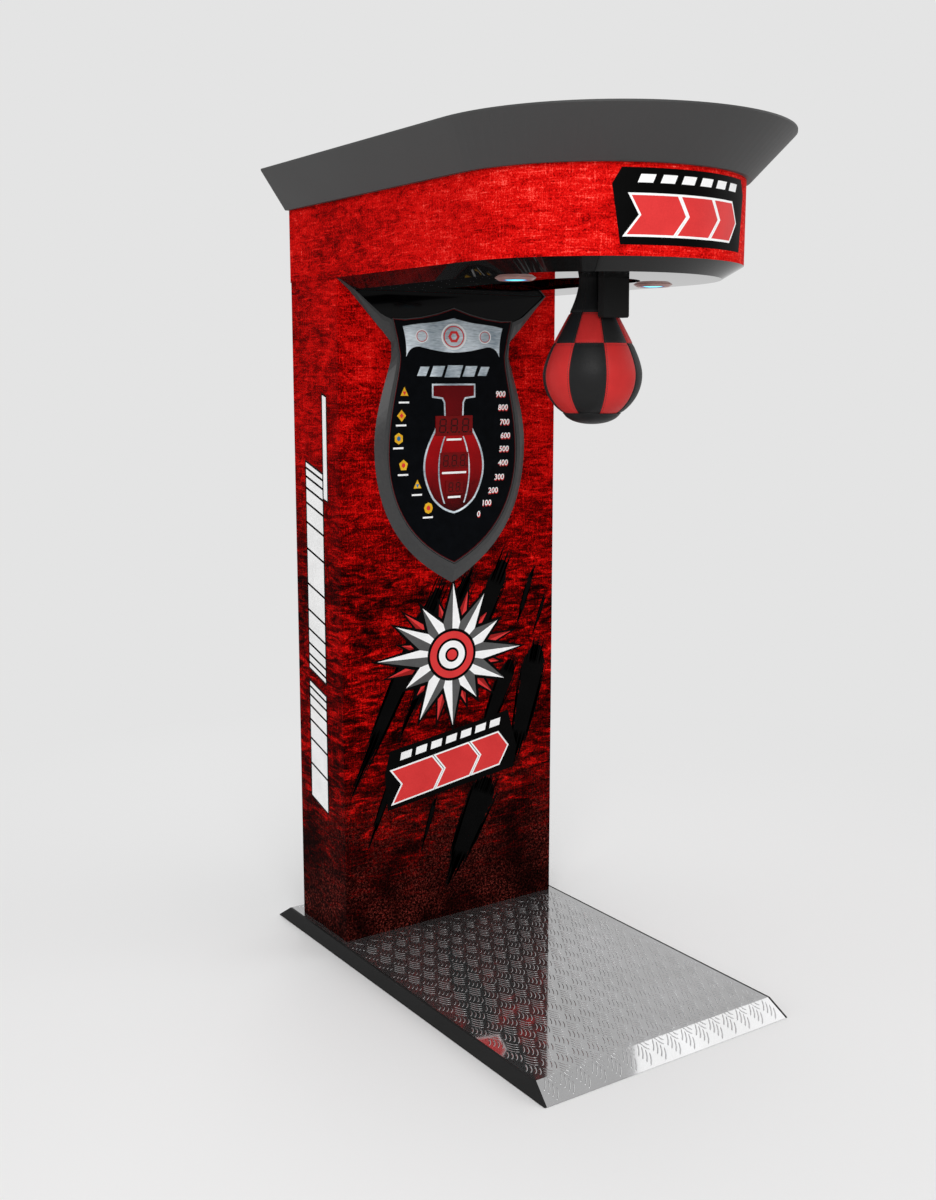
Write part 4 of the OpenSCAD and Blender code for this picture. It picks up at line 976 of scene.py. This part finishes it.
def digit_segments(u, v, w, h):
    """Outlines of a seven-segment eight, leaning a little."""
    t = w * 0.17
    x, y = w / 2 - t / 2, h / 2 - t / 2
    lean = 0.08
    b = t / 2
    shapes = []
    for cx, cy in ((0, y), (0, 0), (0, -y)):
        a = (2 * x - t * 0.35) / 2
        shapes.append((cx, cy, [(-a, 0), (-a + b, -b), (a - b, -b), (a, 0), (a - b, b), (-a + b, b)]))
    for cx, cy in ((-x, y / 2), (x, y / 2), (-x, -y / 2), (x, -y / 2)):
        a = (y - t * 0.35) / 2
        shapes.append((cx, cy, [(0, -a), (b, -a + b), (b, a - b), (0, a), (-b, a - b), (-b, -a + b)]))
    return [[(u + cx + p + lean * (cy + q), v + cy + q) for p, q in shape] for cx, cy, shape in shapes]


def face_loop(node):
    """Outline of the face that looks forward on a CAD node, in work millimetres."""
    work = bmesh.new()
    work.from_mesh(NODES[node].data)
    bmesh.ops.remove_doubles(work, verts=work.verts, dist=0.000005)
    low = min(v.co.y for v in work.verts)
    front = {f for f in work.faces if all(v.co.y - low < 0.00002 for v in f.verts)}
    steps = {}
    for face in front:
        for loop in face.loops:
            if sum(f in front for f in loop.edge.link_faces) == 1:
                steps[loop.vert] = loop.link_loop_next.vert
    first = max(steps, key=lambda v: (v.co.z, v.co.x))
    found, vert = [], first
    while not found or vert is not first:
        found.append((vert.co.x * 1000, vert.co.z * 1000))
        vert = steps[vert]
    work.free()
    return found


def bead(loop, place, half, height, count=6):
    """A half-round bead along an outline, laid on a surface by place(u, v, lift)."""
    points, faces = [], []
    for k in range(count + 1):
        turn = math.pi * k / count
        points += [place(u, v, height * math.sin(turn)) for u, v in grown(loop, half * math.cos(turn))]
    size = len(loop)
    for k in range(count + 1):
        other = (k + 1) % (count + 1)
        for i in range(size):
            j = (i + 1) % size
            faces.append((k * size + i, k * size + j, other * size + j, other * size + i))
    return points, faces


def rounded(u, v, w, h, r, count=6):
    """A rectangle with round corners, counterclockwise."""
    points = []
    for k, (side, up) in enumerate(((1, 1), (-1, 1), (-1, -1), (1, -1))):
        for i in range(count + 1):
            a = math.pi / 2 * (k + i / count)
            points.append((u + side * (w / 2 - r) + r * math.cos(a), v + up * (h / 2 - r) + r * math.sin(a)))
    return points


def coin_trim():
    """Edge rib of the coin plate, and the surrounds of its slot, button and cup."""
    place = on_side(1, COIN_PLATE_T)
    slot = (COIN_Y - 17, COIN_Z + 65)
    surround = [rounded(*slot, 20, 50, 9.9), rounded(*slot, 4.4, 34.8, 0.8)]
    parts = [plate(surround, 0.0, 1.6, place) + ("Black powder coat",)]
    for loop, half, height in ((rounded(COIN_Y, COIN_Z, 111, 186, 3), 1.2, 1.0),
                               (rounded(*slot, 24, 54, 11.9), 2.2, 2.6),
                               (circle(COIN_Y + 25, COIN_Z + 65, 13.4, 40), 3.0, 3.4),
                               (rounded(COIN_Y, COIN_Z - 49, 63, 48, 5), 2.6, 2.6)):
        parts.append(bead(loop, place, half, height) + ("Zinc-plated steel",))
    return parts


def display_print():
    """Inks on the display: silver band, stem and drop-shaped field, marks and label bars."""
    place = on_front(DISPLAY_Y)
    parts, cut = films(place)
    # Thin red line just inside the plate's edge
    parts.append(bead(grown(face_loop("display_plate"), -2.9), place, 0.8, film() * 0.8) + ("Maroon ink",))
    # Silver band along the top, its lower corners drawn down to points
    band = bezier((0, 1842), (30, 1834), (60, 1829), (98, 1826), 8)
    band += bezier((98, 1826), (125, 1824), (150, 1820), (171, 1816), 6)
    band += bezier((171, 1816), (162, 1790), (158, 1760), (160, 1732), 8)
    band += bezier((160, 1732), (152, 1752), (140, 1762), (116, 1761), 6)
    band += bezier((116, 1761), (90, 1756), (50, 1746), (0, 1745), 10)
    cut([mirrored(band + [(0, 1745)])], 1, SILVER)
    # Three discs of rings on it
    for u, r, tall in ((0, 43, 0.86), (-108, 21.5, 0.88), (108, 21.5, 0.88)):
        for outer, inner, ink in ((1, 0.88, WHITE), (0.82, 0.74, RED), (0.60, 0, SILVER)):
            cut([circle(u, 1790, r * share, 48, tall) for share in (outer, inner) if share], 2, ink)
    cut([circle(0, 1790, 20, 6, 0.9), circle(0, 1790, 11, 6, 0.9)], 3, RED)
    # Five graded bars across the upper field
    for u, w, h in ((-104, 30, 26), (-56, 40, 30), (0, 52, 34), (56, 40, 30), (104, 30, 26)):
        cut([slanted(u, 1692, w, h, 12)], 1, SILVER)
    # Stem and drop-shaped field with silver edges
    stem = mirrored([(0, 1652), (70, 1652), (70, 1622), (38, 1618), (30, 1604), (28, 1560), (0, 1560)])
    cut([grown(stem, 5)], 0.5, SILVER)
    cut([stem], 1, "Maroon ink")
    drop = [(0.0, 1530.0)]
    drop += bezier((58, 1530), (66, 1514), (76, 1500), (86, 1478), 10)
    drop += bezier((86, 1478), (106, 1432), (106, 1388), (70, 1330), 12)
    drop += bezier((70, 1330), (48, 1304), (22, 1292), (0, 1288), 8)
    field = mirrored(drop + [(0.0, 1288.0)])
    cut([grown(field, 6)], 0.6, SILVER)
    cut([field], 1.2, "Crimson ink")
    for side in (-1, 1):
        line = bezier((34 * side, 1506), (60 * side, 1450), (64 * side, 1380), (36 * side, 1312), 16)
        line.append((36 * side, 1312))
        cut([line + [(x - side * 4.5, z) for x, z in reversed(line)]], 1.8, SILVER)
    # Label bars under the score windows
    for z, w in ((1497, 52), (1401, 84), (1330, 44)):
        cut([slanted(0, z, w, 6, 1)], 2.6, WHITE)
    # Plain marks down the left, each with its label bar
    for u, z, corners, ink in ((-167, 1632, 3, RED), (-177, 1568, 4, RED), (-187, 1504, 6, "Blue ink"),
                               (-172, 1428, 5, RED), (-126, 1369, 3, "Blue ink"), (-89, 1302, 8, RED)):
        cut([circle(u, z, 15, corners, 1.1, math.pi / 2)], 1, "Amber ink")
        cut([circle(u, z, 6.5, corners, 1.1, -math.pi / 2)], 1.8, ink)
        cut([slanted(u - 2, z - 27, 34, 5, 0)], 1, WHITE)
    return parts


def display_numbers():
    """The scale of plain numbers down the right side of the display, each over a red edge."""
    parts = []
    spots = [(164, 1627), (173, 1588), (179, 1545), (182, 1505), (177, 1466), (174, 1425), (160, 1383),
             (138, 1344), (114, 1308), (86, 1276)]
    place = on_front(DISPLAY_Y)
    for i, (u, z) in enumerate(spots):
        text = str(900 - 100 * i)
        parts.append(number_mesh(text, 17, u + 1.2, z - 3.2, 0.1, place) + (RED,))
        parts.append(number_mesh(text, 17, u, z, 0.5, place) + (WHITE,))
    return parts


def score_digits():
    """Unlit seven-segment digits in the three score windows."""
    parts = []
    for z, w, h, count in ((1537, 128, 57, 3), (1436, 98, 47, 3), (1359, 60, 38, 2)):
        room = (w - 10) / count
        for k in range(count):
            u = (k - (count - 1) / 2) * room
            dot = circle(u + room * 0.42, z - h * 0.34, h * 0.05, 10)
            for shape in digit_segments(u, z, room * 0.62, h * 0.72) + [dot]:
                parts.append(plate([shape], -0.2, 0.25, on_front(LED_Y)) + ("Unlit digit segment",))
    return parts


# Operators

class PUNCH_OT_base(bpy.types.Operator):
    """Tread plate with its raised bars, skirts, base frame, pads and bolts"""

    bl_idname = "punch.base"
    bl_label = "Base"
    bl_options = {"REGISTER", "UNDO"}

    def execute(self, context):
        dress({"Rolled aluminium tread plate": "tread_plate", "Powder-coated steel": "base_frame",
               "Matt black PVC": "base_skirt_left base_skirt_right", "Moulded rubber": "floor_pads",
               "Zinc-plated steel": "column_bolts"})
        bars = tread_bars(sizes().bar_height * 1000) + ("Rolled aluminium tread plate",)
        build("tread_bars", [bars], "machine", True)
        soften("base_skirt_left")
        soften("base_skirt_right")
        return {"FINISHED"}


class PUNCH_OT_column(bpy.types.Operator):
    """Column panels in their printed wrap, and the column's frame"""

    bl_idname = "punch.column"
    bl_label = "Column"
    bl_options = {"REGISTER", "UNDO"}

    def execute(self, context):
        dress({"Printed vinyl wrap": "front_panel left_panel right_panel",
               "Powder-coated steel": "column_frame"})
        return {"FINISHED"}


class PUNCH_OT_graphics(bpy.types.Operator):
    """Cut films on the column's sides and front and on the head"""

    bl_idname = "punch.graphics"
    bl_label = "Cut films"
    bl_options = {"REGISTER", "UNDO"}

    def execute(self, context):
        falling = [96, 70, 50, 36, 26, 18, 12]
        left = stacked(422, falling) + stacked(814, falling[:0:-1] + falling)
        # The right side leaves room for the coin plate
        right = [span for span in left if span[1] < COIN_PLATE[0] or span[0] > COIN_PLATE[1]]
        strokes = [(-30, 1090, -338, 500, 62), (72, 1110, -180, 640, 54), (200, 1150, -20, 690, 62),
                   (322, 872, 226, 480, 84), (140, 470, -14, 150, 92), (300, 1100, 238, 925, 18),
                   (-190, 560, -292, 320, 22), (225, 830, 100, 560, 56), (-60, 430, -112, 270, 14),
                   (346, 1010, 300, 890, 12)]
        for name, parts in (("side_stripes_left", side_stripes(on_side(-1), left)),
                            ("side_stripes_right", side_stripes(on_side(1), right)),
                            ("brush_strokes", brush_strokes(strokes, 5)),
                            ("front_starburst", front_graphic()),
                            ("head_badge", head_badge())):
            build(name, parts, "machine")
        return {"FINISHED"}


class PUNCH_OT_head(bpy.types.Operator):
    """Head band, crown, trim and ceiling plate, with the frame inside"""

    bl_idname = "punch.head"
    bl_label = "Head"
    bl_options = {"REGISTER", "UNDO"}

    def execute(self, context):
        dress({"Printed vinyl wrap": "head_band", "Textured charcoal ABS": "crown crown_lid",
               "Gloss lacquered trim": "chamfer_trim", "High-gloss laminate": "ceiling_plate",
               "Powder-coated steel": "head_frame"})
        return {"FINISHED"}


class PUNCH_OT_lights(bpy.types.Operator):
    """The two round ceiling lights"""

    bl_idname = "punch.lights"
    bl_label = "Lights"
    bl_options = {"REGISTER", "UNDO"}

    def execute(self, context):
        dress({"Anodised light ring": "light_rings", "Frosted lamp lens": "light_lenses",
               "Zinc-plated steel": "light_modules"})
        return {"FINISHED"}


class PUNCH_OT_ball(bpy.types.Operator):
    """Padded ball with its stitched leather panels"""

    bl_idname = "punch.ball"
    bl_label = "Ball"
    bl_options = {"REGISTER", "UNDO"}

    def execute(self, context):
        dress({"Zinc-plated steel": "neck_clamp", "Moulded rubber": "stop_pad"})
        depth = sizes().seam_depth * 1000
        ball = build("ball_cover", [ball_mesh(depth)], "swing", True)
        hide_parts("ball")
        thread = stitches(sizes().stitch * 1000, depth) + ("Waxed thread",)
        build("ball_stitches", [thread], "swing", True)
        return {"FINISHED"}


class PUNCH_OT_swing(bpy.types.Operator):
    """Axle, arm, bearings, latch and speed sensing inside the head"""

    bl_idname = "punch.swing"
    bl_label = "Swing and latch"
    bl_options = {"REGISTER", "UNDO"}

    def execute(self, context):
        dress({"Powder-coated steel": "swing_arm bearing_plates latch_plate stop_bracket",
               "Zinc-plated steel": "swing_axle flange_bearings latch_lever latch_hook solenoid_plunger "
                                    "plunger_spring",
               "Yellow coil tape": "solenoid_body", "Moulded black ABS": "speed_disc speed_sensor",
               "Moulded rubber": "up_bumper"})
        return {"FINISHED"}


class PUNCH_OT_display(bpy.types.Operator):
    """Shield-shaped display with its printed plate, numbers and score windows"""

    bl_idname = "punch.display"
    bl_label = "Display"
    bl_options = {"REGISTER", "UNDO"}

    def execute(self, context):
        dress({"Satin grey enamel": "shield_border", "Gloss black acrylic": "shield_backing",
               "Printed polycarbonate": "display_plate", "Red display window": "led_displays"})
        rim = bead(face_loop("display_plate"), on_front(DISPLAY_Y), 1.6, 1.8) + ("Satin grey enamel",)
        build("display_inks", display_print(), "machine")
        build("display_bead", [rim], "machine", True)
        build("display_numbers", display_numbers(), "machine")
        build("score_digits", score_digits(), "machine")
        return {"FINISHED"}


class PUNCH_OT_coin_unit(bpy.types.Operator):
    """Coin plate with its slot, button, cup and flap, and what stands behind it"""

    bl_idname = "punch.coin_unit"
    bl_label = "Coin unit"
    bl_options = {"REGISTER", "UNDO"}

    def execute(self, context):
        dress({"Brushed stainless": "coin_plate", "Black powder coat": "coin_screws",
               "Moulded black ABS": "coin_cup coin_acceptor", "Moulded red polycarbonate": "coin_button",
               "Zinc-plated steel": "coin_flap coin_chute cash_box"})
        build("coin_trim", coin_trim(), "machine", True)
        return {"FINISHED"}


class PUNCH_OT_rear(bpy.types.Operator):
    """Rear panel, service door, hinges, lock, grilles and mains inlet"""

    bl_idname = "punch.rear"
    bl_label = "Rear"
    bl_options = {"REGISTER", "UNDO"}

    def execute(self, context):
        dress({"Matt lacquered board": "rear_panel service_door", "Turned brass": "lock_cam",
               "Zinc-plated steel": "door_hinge_fixed door_hinge_moving lock_housing",
               "Black powder coat": "rear_grilles", "Moulded black ABS": "power_inlet",
               "Moulded red polycarbonate": "power_rocker"})
        return {"FINISHED"}


class PUNCH_OT_inside(bpy.types.Operator):
    """Speaker, control board and power supply inside the column"""

    bl_idname = "punch.inside"
    bl_label = "Inside"
    bl_options = {"REGISTER", "UNDO"}

    def execute(self, context):
        dress({"Moulded black ABS": "speaker", "Green circuit board": "control_board",
               "Zinc-plated steel": "power_supply"})
        return {"FINISHED"}


# Stage

BACKDROP = linear("#e4e4e4")
# Each lamp's place and the width of its disk in metres, and its power in watts
LAMPS = {"Key": ((-2.6, -3.6, 3.6), 3.2, 112), "Fill": ((3.25, -1.55, 2.9), 2.1, 12.5),
         "Back": ((1.2, 4.2, 3.6), 3.4, 55)}
LAMPS_AIM = Vector((0, 0, 1.0))
# The photograph's viewpoint, solved from the machine's straight edges
CAMERA_PLACE = (-2.179, -2.941, 1.6835)
CAMERA_AIM = (0.5519, 0.8175, -0.1644)
CAMERA_LENS = 40.62


def backdrop_share(tree):
    """1 where the camera, a reflection or a clear part looks, 0 for light that falls on the machine."""
    seen = add(tree, "LightPath").outputs
    share = add(tree, "Math", [seen["Is Camera Ray"], seen["Is Glossy Ray"]], operation="MAXIMUM")
    return add(tree, "Math", [share, seen["Is Transmission Ray"]], operation="MAXIMUM")


def place_in_scene(name, data, place, aim):
    """A lamp or camera at its place, looking along aim."""
    obj = bpy.data.objects.new(name, data)
    obj.location = place
    obj.rotation_euler = Vector(aim).to_track_quat("-Z", "Y").to_euler()
    bpy.context.scene.collection.objects.link(obj)
    return obj


class PUNCH_OT_stage(bpy.types.Operator):
    """Pale floor, soft studio light and the camera"""

    bl_idname = "punch.stage"
    bl_label = "Stage"
    bl_options = {"REGISTER", "UNDO"}

    def execute(self, context):
        scene = context.scene
        scene.view_settings.view_transform = "Standard"
        mesh = bpy.data.meshes.new("Floor")
        mesh.from_pydata([(x, y, 0.0) for x, y in circle(0, 0, 60.0, 64)], [], [tuple(range(64))])
        floor = bpy.data.objects.new("Floor", mesh)
        scene.collection.objects.link(floor)
        # Matt studio paint that fades into the backdrop's tone away from the machine
        material, tree, shader, where = start("Studio floor paint", Roughness=0.9, Specular_IOR_Level=0.1,
                                              Base_Color=linear("#f3f3f3"))
        away = add(tree, "VectorMath", [where], operation="LENGTH")
        fade = add(tree, "MapRange", [away.outputs["Value"], 0.9, 3.2])
        amount = add(tree, "Math", [fade, backdrop_share(tree)], operation="MULTIPLY")
        tone = add(tree, "Emission", {"Color": BACKDROP, "Strength": 1.0})
        mixed = add(tree, "MixShader", [amount, shader, tone])
        feed(tree, tree.nodes["Material Output"], {"Surface": mixed})
        mesh.materials.append(material)
        # World: pale for the camera and for reflections, softer as a light
        world = bpy.data.worlds.new("Studio")
        scene.world = world
        world.use_nodes = True
        tree = world.node_tree
        tree.nodes.clear()
        light = add(tree, "Background", {"Color": linear("#ffffff"), "Strength": 0.62})
        shown = add(tree, "Background", {"Color": BACKDROP, "Strength": 1.0})
        mixed = add(tree, "MixShader", [backdrop_share(tree), light, shown])
        add(tree, "OutputWorld", {"Surface": mixed}).is_active_output = True
        for name, (place, size, power) in LAMPS.items():
            data = bpy.data.lights.new(name, "AREA")
            data.shape = "DISK"
            data.size = size
            data.energy = power
            place_in_scene(name, data, place, LAMPS_AIM - Vector(place))
        data = bpy.data.cameras.new("Camera")
        data.sensor_fit = "VERTICAL"
        data.sensor_height = 36
        data.lens = CAMERA_LENS
        data.clip_end = 200
        scene.camera = place_in_scene("Camera", data, CAMERA_PLACE, CAMERA_AIM)
        return {"FINISHED"}


OPERATORS = [PUNCH_OT_base, PUNCH_OT_column, PUNCH_OT_graphics, PUNCH_OT_head, PUNCH_OT_lights,
             PUNCH_OT_ball, PUNCH_OT_swing, PUNCH_OT_display, PUNCH_OT_coin_unit, PUNCH_OT_rear,
             PUNCH_OT_inside, PUNCH_OT_stage]


class PUNCH_PT_panel(bpy.types.Panel):
    """Lists the machine's sizes, colours and pieces"""

    bl_idname = "PUNCH_PT_panel"
    bl_label = "Punch Ball Machine"
    bl_space_type = "VIEW_3D"
    bl_region_type = "UI"
    bl_category = "Punch Ball"

    def draw(self, context):
        for group in (context.scene.punch_sizes, context.scene.punch_colours):
            box = self.layout.box()
            for key in group.__annotations__:
                box.prop(group, key)
        for operator in OPERATORS:
            self.layout.operator(operator.bl_idname)


CLASSES = [MachineSizes, MachineColours] + OPERATORS + [PUNCH_PT_panel]


def register():
    for cls in CLASSES:
        bpy.utils.register_class(cls)
    bpy.types.Scene.punch_sizes = bpy.props.PointerProperty(type=MachineSizes)
    bpy.types.Scene.punch_colours = bpy.props.PointerProperty(type=MachineColours)


def unregister():
    del bpy.types.Scene.punch_colours
    del bpy.types.Scene.punch_sizes
    for cls in reversed(CLASSES):
        bpy.utils.unregister_class(cls)


def main():
    register()
    for operator in OPERATORS:
        group, name = operator.bl_idname.split(".")
        getattr(getattr(bpy.ops, group), name)()


if __name__ == "__main__":
    main()
